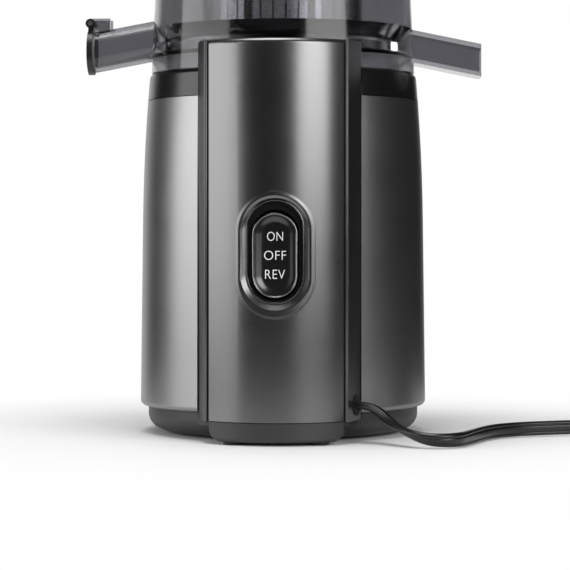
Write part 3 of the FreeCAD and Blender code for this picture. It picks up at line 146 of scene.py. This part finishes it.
# The plug: sections from the cord to the face, each a distance, a width, a height and a corner, in mm
plug_sections = [
    (0.0, 5.6, 9.4, 2.2), (0.3, 6.2, 10.0, 2.5), (3.0, 6.8, 10.8, 2.8), (3.2, 6.0, 10.0, 2.5),
    (4.2, 6.2, 10.2, 2.5), (4.4, 7.2, 11.4, 3.0), (7.0, 8.2, 12.8, 3.4), (7.2, 7.4, 12.0, 3.2),
    (8.2, 7.8, 12.6, 3.3), (8.4, 8.8, 14.0, 3.7), (11.2, 10.2, 16.4, 4.2), (12.0, 12.6, 19.4, 4.8),
    (12.8, 14.6, 21.8, 5.4), (13.8, 16.0, 23.8, 5.8), (15.4, 17.0, 25.2, 6.2), (15.8, 16.2, 24.4, 6.0),
    (16.8, 16.2, 24.6, 6.0), (17.2, 17.2, 25.8, 6.2), (19.0, 17.6, 26.2, 6.3), (19.4, 16.8, 25.4, 6.0),
    (20.4, 16.8, 25.6, 6.0), (20.8, 17.8, 26.6, 6.4), (22.6, 18.2, 27.0, 6.4), (23.0, 17.4, 26.2, 6.2),
    (24.0, 17.4, 26.2, 6.2), (24.6, 18.0, 27.2, 6.4), (26.4, 18.4, 27.8, 6.5), (27.4, 19.2, 28.8, 6.6),
    (28.2, 19.8, 29.4, 6.7), (28.8, 20.0, 29.6, 6.8), (32.0, 20.0, 29.6, 6.8), (32.7, 19.6, 29.2, 6.6),
    (33.0, 18.6, 28.2, 6.2),
]

# The strap round the coil: its half width, thickness and corner, the rounding of its edges and the turn
# between faces, in radians, past which an edge is rounded, and the place and size of its section
strap_half = 6.0 * mm
strap_thickness = 0.9 * mm
strap_corner = 4.0 * mm
strap_edge = 0.3 * mm
strap_edge_steps = 2
strap_edge_turn = 1.0
strap_bearing = math.radians(225)
strap_radius = 43.06 * mm
strap_size = (20.6 * mm, 20.2 * mm)

# Textures: cells a metre, depths of relief, and shares in roughness and tone
cloud_cells = 38.0
stain_cells = 90.0
flow_cells = 24.0
grain_depth = 0.05 * mm
line_depth = 0.02 * mm
flow_depth = 0.2 * mm
flow_strength = 0.05
grain_roughness = 0.05
line_roughness = 0.22
mottle_tone = 1.5
stain_tone = 0.3
stain_least_tone = 0.85

# Clear plastic
clear_index = 1.45
clear_specular = 0.10

# The studio: the direction of the white backdrop and the range of the dot product with it over which its
# edge fades, how bright the rest of the room is in reflections, the fill light from all round, and the
# floor with the reach over which it fades to white
backdrop_direction = (-0.22, 1.0, 0.0)
backdrop_edge = (0.83, 0.975)
room_reflection = 0.02
room_light = 0.20
floor_radius = 0.34
floor_drop = 0.2 * mm
floor_fade = (0.09, 0.32)
floor_color = (0.90, 0.90, 0.90, 1)
floor_roughness = 0.7
floor_specular = 0.2
floor_points = 96


# Shader groups and materials

def new_group(name, color, numbers):
    """Empty shader group that turns a colour and numbers into a colour, a roughness and a height."""
    tree = bpy.data.node_groups.new(name, "ShaderNodeTree")
    socket = tree.interface.new_socket("Color", in_out="INPUT", socket_type="NodeSocketColor")
    socket.default_value = (*color, 1)
    for title, value in numbers.items():
        socket = tree.interface.new_socket(title, in_out="INPUT", socket_type="NodeSocketFloat")
        socket.default_value = value
    tree.interface.new_socket("Color", in_out="OUTPUT", socket_type="NodeSocketColor")
    for title in ("Roughness", "Height"):
        tree.interface.new_socket(title, in_out="OUTPUT", socket_type="NodeSocketFloat")
    return tree, tree.nodes.new("NodeGroupInput"), tree.nodes.new("NodeGroupOutput")


def add_node(tree, kind, **settings):
    """New node with its settings made."""
    node = tree.nodes.new(kind)
    for name, value in settings.items():
        setattr(node, name, value)
    return node


def math_node(tree, operation, first, second):
    """Math node whose operands are sockets or numbers; returns its result."""
    node = add_node(tree, "ShaderNodeMath", operation=operation)
    for socket, value in zip(node.inputs, (first, second)):
        if isinstance(value, bpy.types.NodeSocket):
            tree.links.new(value, socket)
        else:
            socket.default_value = value
    return node.outputs[0]


def largest(tree, first, *others):
    """Largest of several sockets."""
    for other in others:
        first = math_node(tree, "MAXIMUM", first, other)
    return first


def shaded(tree, color, shade):
    """Colour times a number, both from sockets."""
    node = add_node(tree, "ShaderNodeVectorMath", operation="SCALE")
    tree.links.new(color, node.inputs[0])
    tree.links.new(shade, node.inputs["Scale"])
    return node.outputs[0]


def smooth_range(tree, value, limits, least=0.0):
    """Soft step from a least value to one as a socket passes between two limits."""
    node = add_node(tree, "ShaderNodeMapRange", interpolation_type="SMOOTHSTEP")
    tree.links.new(value, node.inputs["Value"])
    node.inputs["From Min"].default_value, node.inputs["From Max"].default_value = limits
    node.inputs["To Min"].default_value = least
    return node.outputs["Result"]


def noise_node(tree, vector, scale, detail):
    """Noise texture; scale is a socket or a number of cells a metre."""
    node = add_node(tree, "ShaderNodeTexNoise")
    tree.links.new(vector, node.inputs["Vector"])
    if isinstance(scale, bpy.types.NodeSocket):
        tree.links.new(scale, node.inputs["Scale"])
    else:
        node.inputs["Scale"].default_value = scale
    node.inputs["Detail"].default_value = detail
    return node.outputs["Fac"]


def make_moulded_grain():
    """Fine spark texture of a mould, with slow mottling of colour and roughness."""
    numbers = {"Roughness": 0.4, "Grain": 2600.0, "Mottle": 0.06}
    tree, source, result = new_group("moulded_grain", (0.1, 0.1, 0.1), numbers)
    place = add_node(tree, "ShaderNodeTexCoord").outputs["Object"]
    grain = noise_node(tree, place, source.outputs["Grain"], 3)
    cloud = noise_node(tree, place, cloud_cells, 4)
    change = math_node(tree, "MULTIPLY", math_node(tree, "SUBTRACT", cloud, 0.5), source.outputs["Mottle"])
    rough = math_node(tree, "ADD", source.outputs["Roughness"], change)
    speck = math_node(tree, "MULTIPLY", math_node(tree, "SUBTRACT", grain, 0.5), grain_roughness)
    tree.links.new(math_node(tree, "ADD", rough, speck), result.inputs["Roughness"])
    shade = math_node(tree, "ADD", math_node(tree, "MULTIPLY", change, mottle_tone), 1.0)
    tree.links.new(shaded(tree, source.outputs["Color"], shade), result.inputs["Color"])
    tree.links.new(grain, result.inputs["Height"])
    return tree


def make_drawn_metal():
    """Fine lines along one axis, as left by turning, grinding or rolling, with a slow change of tone."""
    numbers = {"Roughness": 0.3, "Across": 300.0, "Along": 6000.0}
    tree, source, result = new_group("drawn_metal", (0.6, 0.6, 0.6), numbers)
    place = add_node(tree, "ShaderNodeTexCoord").outputs["Object"]
    stretch = add_node(tree, "ShaderNodeCombineXYZ")
    for axis, title in (("X", "Across"), ("Y", "Across"), ("Z", "Along")):
        tree.links.new(source.outputs[title], stretch.inputs[axis])
    scaled = add_node(tree, "ShaderNodeVectorMath", operation="MULTIPLY")
    tree.links.new(place, scaled.inputs[0])
    tree.links.new(stretch.outputs[0], scaled.inputs[1])
    lines = noise_node(tree, scaled.outputs[0], 1.0, 3)
    stain = noise_node(tree, place, stain_cells, 3)
    rough = math_node(tree, "MULTIPLY", math_node(tree, "SUBTRACT", lines, 0.5), line_roughness)
    tree.links.new(math_node(tree, "ADD", source.outputs["Roughness"], rough), result.inputs["Roughness"])
    tone = math_node(tree, "ADD", math_node(tree, "MULTIPLY", stain, stain_tone), stain_least_tone)
    tree.links.new(shaded(tree, source.outputs["Color"], tone), result.inputs["Color"])
    tree.links.new(lines, result.inputs["Height"])
    return tree


moulded_grain = make_moulded_grain()
drawn_metal = make_drawn_metal()


def new_material(name):
    """Material with its Principled shader; returns both and the tree."""
    material = bpy.data.materials.new(name)
    material.use_nodes = True
    return material, material.node_tree, material.node_tree.nodes["Principled BSDF"]


def finished(name, group, values, bump, depth, constants):
    """Material whose colour, roughness and bump come from a shared group."""
    material, tree, shader = new_material(name)
    surface = add_node(tree, "ShaderNodeGroup", node_tree=group)
    for title, value in values.items():
        surface.inputs[title].default_value = value
    relief = add_node(tree, "ShaderNodeBump")
    relief.inputs["Strength"].default_value = bump
    relief.inputs["Distance"].default_value = depth
    tree.links.new(surface.outputs["Height"], relief.inputs["Height"])
    tree.links.new(surface.outputs["Color"], shader.inputs["Base Color"])
    tree.links.new(surface.outputs["Roughness"], shader.inputs["Roughness"])
    tree.links.new(relief.outputs["Normal"], shader.inputs["Normal"])
    for title, value in constants.items():
        shader.inputs[title].default_value = value
    return material


def plastic(name, color, roughness, grain=2600.0, mottle=0.06, bump=0.12, **constants):
    """Moulded, painted or cast finish with a fine grain."""
    values = {"Color": (*color, 1), "Roughness": roughness, "Grain": grain, "Mottle": mottle}
    return finished(name, moulded_grain, values, bump, grain_depth, constants)


def metal(name, color, roughness, across=300.0, along=6000.0, bump=0.15):
    """Bare metal with fine lines."""
    values = {"Color": (*color, 1), "Roughness": roughness, "Across": across, "Along": along}
    return finished(name, drawn_metal, values, bump, line_depth, {"Metallic": 1.0})


def clear_plastic(name, color, roughness):
    """Smoke-tinted clear plastic with faint flow marks."""
    material, tree, shader = new_material(name)
    place = add_node(tree, "ShaderNodeTexCoord").outputs["Object"]
    flow = noise_node(tree, place, flow_cells, 2)
    relief = add_node(tree, "ShaderNodeBump")
    relief.inputs["Strength"].default_value = flow_strength
    relief.inputs["Distance"].default_value = flow_depth
    tree.links.new(flow, relief.inputs["Height"])
    tree.links.new(relief.outputs["Normal"], shader.inputs["Normal"])
    shader.inputs["Base Color"].default_value = (*color, 1)
    shader.inputs["Roughness"].default_value = roughness
    shader.inputs["Transmission Weight"].default_value = 1.0
    shader.inputs["IOR"].default_value = clear_index
    shader.inputs["Specular IOR Level"].default_value = clear_specular
    return material


finishes = {
    "satin_charcoal": plastic("satin_charcoal", (0.285, 0.285, 0.288), 0.36, Metallic=0.98),
    "column_charcoal": plastic("column_charcoal", (0.170, 0.170, 0.172), 0.29, Metallic=0.96),
    "frame_dark": plastic("frame_dark", (0.125, 0.125, 0.126), 0.36, Metallic=0.96),
    "gloss_black": plastic("gloss_black", (0.006, 0.006, 0.006), 0.25, bump=0.03),
    "rocker_black": plastic(
        "rocker_black", (0.008, 0.008, 0.008), 0.22, bump=0.05, **{"Specular IOR Level": 0.9},
    ),
    "pan_dark": plastic("pan_dark", (0.027, 0.027, 0.0275), 0.46),
    "foot_rubber": plastic("foot_rubber", (0.005, 0.005, 0.005), 0.75, grain=1800.0, bump=0.3),
    "screw_steel": metal("screw_steel", (0.62, 0.62, 0.64), 0.3),
    "switch_plastic": plastic("switch_plastic", (0.012, 0.012, 0.012), 0.5),
    "board_green": plastic("board_green", (0.010, 0.075, 0.025), 0.4),
    "motor_steel": metal("motor_steel", (0.45, 0.45, 0.47), 0.38),
    "cast_alloy": plastic("cast_alloy", (0.42, 0.42, 0.43), 0.5, grain=900.0, bump=0.4, Metallic=1.0),
    "bronze": metal("bronze", (0.58, 0.36, 0.16), 0.42),
    "ferrite": plastic("ferrite", (0.03, 0.03, 0.03), 0.6),
    "carbon": plastic("carbon", (0.02, 0.02, 0.021), 0.5),
    "copper": metal("copper", (0.72, 0.30, 0.12), 0.35, across=4000.0, along=400.0),
    "ground_steel": metal("ground_steel", (0.66, 0.66, 0.68), 0.22),
    "nylon_white": plastic("nylon_white", (0.72, 0.70, 0.62), 0.45),
    "fan_plastic": plastic("fan_plastic", (0.03, 0.03, 0.032), 0.45),
    "seal_silicone": plastic("seal_silicone", (0.16, 0.16, 0.165), 0.6),
    "smoke_clear": clear_plastic("smoke_clear", (0.30, 0.30, 0.32), 0.11),
    "strainer_plastic": plastic("strainer_plastic", (0.02, 0.02, 0.021), 0.4),
    "screen_steel": metal("screen_steel", (0.68, 0.68, 0.69), 0.28),
    "auger_plastic": plastic("auger_plastic", (0.014, 0.014, 0.015), 0.36),
    "cord_black": plastic("cord_black", (0.006, 0.006, 0.0062), 0.32, grain=1500.0),
    "tie_black": plastic("tie_black", (0.012, 0.012, 0.012), 0.6),
    "blade_brass": metal("blade_brass", (0.70, 0.56, 0.30), 0.25),
}

# Finishes of single faces and pieces
# Painted highlight: the key's half-round rim is black plastic, but takes this lighter metallic finish for
# bright lines along it
key_rim_painted_highlight = plastic("key_rim_painted_highlight", (0.36, 0.36, 0.36), 0.20, bump=0.03, Metallic=1.0)
# Painted highlight: the black bezel takes a brighter metallic finish, for strong lines on its rounded rim
bezel_painted_highlight = plastic("bezel_painted_highlight", (0.16, 0.16, 0.16), 0.16, bump=0.03, Metallic=0.95)
print_white = plastic("print_white", (0.90, 0.90, 0.90), 0.5)


def dress_nodes():
    """Every solid takes the finish of its slot, apart from a darker pin and a bezel in a brighter metallic
    finish than its black, as painted highlight.
    """
    for name, node in nodes.items():
        node.data.materials.clear()
        node.data.materials.append(finishes[slot_of[name]])
    nodes["rocker_pin"].data.materials[0] = finishes["switch_plastic"]
    nodes["switch_bezel"].data.materials[0] = bezel_painted_highlight


# Pieces

def place_piece(name, mesh, body, slot):
    """Object at the origin for a finished mesh, riding on a body with a slot's finish."""
    piece = bpy.data.objects.new(name, mesh)
    scene.collection.objects.link(piece)
    if not mesh.materials:
        mesh.materials.append(finishes[slot])
    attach(piece, body)
    return piece


def finished_mesh(shape, name):
    """Smooth-shaded mesh of an edited shape, which is then freed."""
    for face in shape.faces:
        face.smooth = True
    mesh = bpy.data.meshes.new(name)
    shape.to_mesh(mesh)
    shape.free()
    return mesh


def rounded_loop(shape, width, height, corner, place):
    """Closed loop of a rectangle with round corners, put in space by place(side, up); returns its edges."""
    made = bmesh.ops.create_circle(shape, segments=loop_points, radius=corner)["verts"]
    for number, vert in enumerate(made):
        angle = 2 * math.pi * (number + 0.5) / loop_points
        side, up = math.cos(angle), math.sin(angle)
        across = corner * side + math.copysign(width / 2 - corner, side)
        vert.co = place(across, corner * up + math.copysign(height / 2 - corner, up))
    return list({edge for vert in made for edge in vert.link_edges})


def bridged(shape, loops, ends):
    """Skin from each loop to the next, its ends capped or joined; returns the faces of each step."""
    if ends == "joined":
        loops = loops + loops[:1]
    skins = []
    for near, far in zip(loops, loops[1:]):
        skins.append(bmesh.ops.bridge_loops(shape, edges=near + far)["faces"])
    if ends == "capped":
        for loop in (loops[0], loops[-1]):
            bmesh.ops.contextual_create(shape, geom=loop)
    bmesh.ops.recalc_face_normals(shape, faces=shape.faces)
    return skins


def drawn_mesh(name, curve):
    """Mesh of a curve or a text as it is drawn."""
    line = bpy.data.objects.new(name, curve)
    scene.collection.objects.link(line)
    bpy.context.view_layer.update()
    mesh = bpy.data.meshes.new_from_object(line.evaluated_get(bpy.context.evaluated_depsgraph_get()))
    bpy.data.objects.remove(line)
    return mesh


# Columns

def make_beads(node):
    """Half-round bead along both rims of a column frame."""
    low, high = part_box(node)
    face = math.copysign(bead_face, low.y + high.y)
    shape = bmesh.new()
    for side in (-bead_side, bead_side):
        loops = []
        for inset, level in (
            (bead_taper, low.z), (0, low.z + bead_end), (0, high.z - bead_end), (bead_taper, high.z),
        ):
            wide = bead_width - 2 * inset
            loops.append(rounded_loop(
                shape, wide, wide, bead_corner * wide,
                lambda across, deep: (side + across, face + deep, level),
            ))
        bridged(shape, loops, "capped")
    name = node.replace("frame", "beads")
    place_piece(name, finished_mesh(shape, name), "base", "frame_dark")


def make_dish_lip():
    """Soft roll round the edge of the switch dish, on the arched face."""
    cover_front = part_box("switch_column_cover")[0].y
    key_low, key_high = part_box("rocker")
    level = (key_low.z + key_high.z) / 2
    shape = bmesh.new()
    loops = []
    for out, rise in lip_sections:
        wide = lip_width + 2 * out * mm
        axis = cover_front + arch_radius - rise * mm
        loops.append(rounded_loop(
            shape, wide, lip_height + 2 * out * mm, wide / 2,
            lambda side, up: (side, axis - math.sqrt(arch_radius ** 2 - side ** 2), level + up),
        ))
    bridged(shape, loops, "joined")
    place_piece("dish_lip", finished_mesh(shape, "dish_lip"), "base", "column_charcoal")


# Switch

def make_rocker():
    """Key with a crisp rim, finished lighter and metallic as a painted highlight, a shallow finger dish and
    its lettering.
    """
    low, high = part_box("rocker")
    width, height = high.x - low.x, high.z - low.z
    level = (low.z + high.z) / 2
    steps = [(key_back_inset, high.y - low.y), (0.0, key_side_depth)]
    plain_steps = len(steps)
    for step in range(key_steps + 1):
        angle = math.pi * step / key_steps
        steps.append((key_rim * (1 - math.cos(angle)), key_rim * (1 - math.sin(angle))))
    for step in range(1, key_steps + 1):
        share = step / key_steps
        sunk = key_dish * (1 - math.cos(math.pi * share)) / 2
        steps.append((2 * key_rim + key_margin * share, key_rim + sunk))
    shape = bmesh.new()
    loops = []
    for inset, back in steps:
        wide = width - 2 * inset
        loops.append(rounded_loop(
            shape, wide, height - 2 * inset, wide / 2,
            lambda side, up: (side, low.y + back, level + up),
        ))
    skins = bridged(shape, loops, "capped")
    # The faces of the rim take the second finish, the painted highlight
    for skin in skins[plain_steps:plain_steps + key_steps]:
        for face in skin:
            face.material_index = 1
    mesh = finished_mesh(shape, "rocker_key")
    for finish in (finishes["rocker_black"], key_rim_painted_highlight):
        mesh.materials.append(finish)
    key = place_piece("rocker_key", mesh, "rocker", "rocker_black")
    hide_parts("rocker")
    for word, rise, wide in lettering:
        print_word(word, wide, Vector((0, low.y + key_rim + key_dish, level + rise)))


def print_word(word, width, centre):
    """Raised pad print on the key, read from the front."""
    curve = bpy.data.curves.new("print_" + word, "FONT")
    curve.body = word
    curve.extrude = print_height / 2
    curve.offset = print_weight
    curve.space_character = print_spacing
    mesh = drawn_mesh("print_" + word, curve)
    corners = [vertex.co for vertex in mesh.vertices]
    low = Vector(min(corner[axis] for corner in corners) for axis in range(3))
    high = Vector(max(corner[axis] for corner in corners) for axis in range(3))
    size = high - low
    fit = Matrix.Diagonal((width / size.x, cap_height / size.y, 1, 1))
    upright = Matrix.Rotation(math.pi / 2, 4, "X")
    mesh.transform(Matrix.Translation(centre) @ upright @ fit @ Matrix.Translation(-(low + high) / 2))
    mesh.materials.clear()
    mesh.materials.append(print_white)
    place_piece("print_" + word, mesh, "rocker", "rocker_black")


# The lead

def coil_point(turn):
    """Inward at a steady rate to the middle of the climb, then outward again a layer up."""
    reversal = coil_first_turns + coil_climb_turns / 2
    radius = coil_outer - coil_step * (reversal - abs(turn - reversal))
    share = min(1, max(0, (turn - coil_first_turns) / coil_climb_turns))
    angle = 2 * math.pi * turn - math.pi / 2
    rise = coil_layer * share * share * (3 - 2 * share)
    return coil_centre + Vector((radius * math.cos(angle), radius * math.sin(angle), rise))


def lead_points():
    """The route, the coil and its straight tail."""
    points = [Vector(point) for point in cord_route]
    turns = coil_first_turns + coil_climb_turns + coil_last_turns
    steps = round(turns * coil_points_a_turn)
    points += [coil_point(turns * step / steps) for step in range(steps + 1)]
    for step in range(1, coil_tail_points + 1):
        points.append(coil_point(turns) + Vector((0, coil_tail * step / coil_tail_points, 0)))
    return points


def lead_spline(profile=None):
    """The lead's smooth line as a mesh, swept with a profile if one is given."""
    curve = bpy.data.curves.new("lead_line", "CURVE")
    curve.dimensions = "3D"
    curve.twist_mode = "Z_UP"
    curve.resolution_u = cord_line_steps
    points = lead_points()
    spline = curve.splines.new("NURBS")
    spline.points.add(len(points) - 1)
    for number, (point, place) in enumerate(zip(spline.points, points)):
        point.co = (*place, 1)
        point.tilt = math.radians(cord_tilts[number]) if number < len(cord_tilts) else 0
    spline.order_u = 3
    spline.use_endpoint_u = True
    if profile:
        curve.bevel_mode = "OBJECT"
        curve.bevel_object = profile
        curve.use_fill_caps = True
    return drawn_mesh("lead_line", curve)


def twin_profile():
    """Outline of a flat lead with a fine groove each side of its middle."""
    curve = bpy.data.curves.new("twin_profile", "CURVE")
    curve.dimensions = "2D"
    spline = curve.splines.new("POLY")
    spline.points.add(cord_profile_points - 1)
    for number, point in enumerate(spline.points):
        angle = 2 * math.pi * number / cord_profile_points
        high = cord_width / 2 * math.sin(angle)
        groove = 1 - cord_groove * math.exp(-((abs(high) - cord_groove_place) / cord_groove_width) ** 2)
        bulge = math.copysign(abs(math.cos(angle)) ** cord_roundness, math.cos(angle))
        point.co = (cord_thickness / 2 * bulge * groove, high, 0, 1)
    spline.use_cyclic_u = True
    profile = bpy.data.objects.new("twin_profile", curve)
    scene.collection.objects.link(profile)
    return profile


def make_plug():
    """Moulded plug with a ringed strain relief, a ribbed grip and a face plate."""
    low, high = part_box("plug_body")
    middle = (low + high) / 2
    shape = bmesh.new()
    loops = []
    for along, width, height, corner in plug_sections:
        loops.append(rounded_loop(
            shape, width * mm, height * mm, corner * mm,
            lambda side, up: (middle.x + side, low.y + along * mm, middle.z + up),
        ))
    bridged(shape, loops, "capped")
    plug = place_piece("plug_grip", finished_mesh(shape, "plug_grip"), "base", "cord_black")
    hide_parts("plug_body")
    return plug


def make_strap():
    """Soft band pulled round the turns of the coil."""
    outward = Vector((math.cos(strap_bearing), math.sin(strap_bearing), 0))
    along = Vector((-outward.y, outward.x, 0))
    middle = Vector((coil_centre.x, coil_centre.y, strap_size[1] / 2)) + outward * strap_radius
    shape = bmesh.new()
    loops = []
    for inset, shift in ((0, -1), (0, 1), (strap_thickness, 1), (strap_thickness, -1)):
        loops.append(rounded_loop(
            shape, strap_size[0] - 2 * inset, strap_size[1] - 2 * inset, strap_corner - inset,
            lambda side, up: middle + outward * side + along * shift * strap_half + Vector((0, 0, up)),
        ))
    bridged(shape, loops, "joined")
    edges = [edge for edge in shape.edges if edge.calc_face_angle(0) > strap_edge_turn]
    bmesh.ops.bevel(
        shape, geom=edges, offset=strap_edge,
        affect="EDGES", segments=strap_edge_steps, profile=0.5, material=-1,
    )
    strap = place_piece("coil_strap", finished_mesh(shape, "coil_strap"), "base", "tie_black")
    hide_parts("coil_tie")
    return strap


def make_lead():
    """The whole lead with its plug and strap."""
    profile = twin_profile()
    mesh = lead_spline(profile)
    bpy.data.objects.remove(profile)
    for face in mesh.polygons:
        face.use_smooth = True
    path = [vertex.co for vertex in lead_spline().vertices]
    lead = place_piece("lead", mesh, "base", "cord_black")
    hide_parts("power_cord", "cord_coil")
    make_plug()
    make_strap()


# Studio

def make_camera():
    """Level camera whose shift puts the spindle axis and the horizon where the photograph has them."""
    data = bpy.data.cameras.new("photo_view")
    data.sensor_width = sensor_width
    data.lens = sensor_width * focal_pixels / photo_pixels
    middle = photo_pixels / 2
    data.shift_x = (middle - axis_pixel) / photo_pixels
    data.shift_y = (horizon_pixel - middle) / photo_pixels
    camera = bpy.data.objects.new("photo_view", data)
    back = Vector((math.sin(camera_turn), -math.cos(camera_turn), 0))
    camera.location = back * camera_distance + Vector((0, 0, camera_height))
    camera.rotation_euler = (math.pi / 2, 0, camera_turn)
    scene.collection.objects.link(camera)
    scene.camera = camera


def softbox(name, bearing, height, distance, size, radiance, aim_height):
    """Area lamp on a bearing from the camera side, in degrees towards +X, facing the spindle axis."""
    data = bpy.data.lights.new(name, "AREA")
    data.shape = "RECTANGLE"
    data.size, data.size_y = size
    data.energy = radiance * math.pi * size[0] * size[1]
    lamp = bpy.data.objects.new(name, data)
    angle = math.radians(bearing)
    lamp.location = (distance * math.sin(angle), -distance * math.cos(angle), height)
    aim = Vector((0, 0, aim_height)) - lamp.location
    lamp.rotation_euler = aim.to_track_quat("-Z", "Y").to_euler()
    scene.collection.objects.link(lamp)


def make_world():
    """White to the camera and through clear pieces, a backdrop in reflections, and dim light elsewhere."""
    world = bpy.data.worlds.new("studio")
    scene.world = world
    world.use_nodes = True
    tree = world.node_tree
    background = tree.nodes["Background"]
    background.inputs["Color"].default_value = (1, 1, 1, 1)
    path = add_node(tree, "ShaderNodeLightPath").outputs
    direction = add_node(tree, "ShaderNodeTexCoord").outputs["Generated"]
    facing = add_node(tree, "ShaderNodeVectorMath", operation="DOT_PRODUCT")
    tree.links.new(direction, facing.inputs[0])
    facing.inputs[1].default_value = backdrop_direction
    behind = smooth_range(tree, facing.outputs["Value"], backdrop_edge, room_reflection)
    glossy = math_node(tree, "MULTIPLY", path["Is Glossy Ray"], behind)
    diffuse = math_node(tree, "MULTIPLY", path["Is Diffuse Ray"], room_light)
    strength = largest(tree, path["Is Camera Ray"], path["Is Transmission Ray"], glossy, diffuse)
    tree.links.new(strength, background.inputs["Strength"])


def make_floor():
    """Pale disc that keeps the shadow and fades to white away from the object."""
    shape = bmesh.new()
    bmesh.ops.create_circle(shape, cap_ends=True, segments=floor_points, radius=floor_radius)
    bmesh.ops.translate(shape, verts=shape.verts, vec=(0, 0, -floor_drop))
    mesh = bpy.data.meshes.new("studio_floor")
    shape.to_mesh(mesh)
    shape.free()
    material, tree, shader = new_material("studio_floor")
    shader.inputs["Base Color"].default_value = floor_color
    shader.inputs["Roughness"].default_value = floor_roughness
    shader.inputs["Specular IOR Level"].default_value = floor_specular
    place = add_node(tree, "ShaderNodeTexCoord").outputs["Object"]
    reach = add_node(tree, "ShaderNodeVectorMath", operation="LENGTH")
    tree.links.new(place, reach.inputs[0])
    fade = smooth_range(tree, reach.outputs["Value"], floor_fade)
    path = add_node(tree, "ShaderNodeLightPath").outputs
    seen = largest(tree, path["Is Camera Ray"], path["Is Transmission Ray"], path["Is Glossy Ray"])
    white = add_node(tree, "ShaderNodeEmission")
    mixed = add_node(tree, "ShaderNodeMixShader")
    tree.links.new(math_node(tree, "MULTIPLY", seen, fade), mixed.inputs["Fac"])
    tree.links.new(shader.outputs[0], mixed.inputs[1])
    tree.links.new(white.outputs[0], mixed.inputs[2])
    tree.links.new(mixed.outputs[0], tree.nodes["Material Output"].inputs["Surface"])
    mesh.materials.append(material)
    floor = bpy.data.objects.new("studio_floor", mesh)
    scene.collection.objects.link(floor)


make_camera()
make_world()
make_floor()
softbox(
    "left_box", bearing=-70, height=0.42, distance=1.40, size=(1.34, 0.86), radiance=3.1, aim_height=0.38,
)
softbox(
    "right_box", bearing=40, height=0.57, distance=1.40, size=(0.90, 0.78), radiance=5.7, aim_height=0.48,
)
softbox(
    "top_box", bearing=-40, height=1.50, distance=0.17, size=(0.84, 0.84), radiance=6.3, aim_height=0.05,
)
scene.view_settings.view_transform = "Standard"

dress_nodes()
make_lead()
make_rocker()
make_beads("switch_column_frame")
make_beads("far_column_frame")
make_dish_lip()
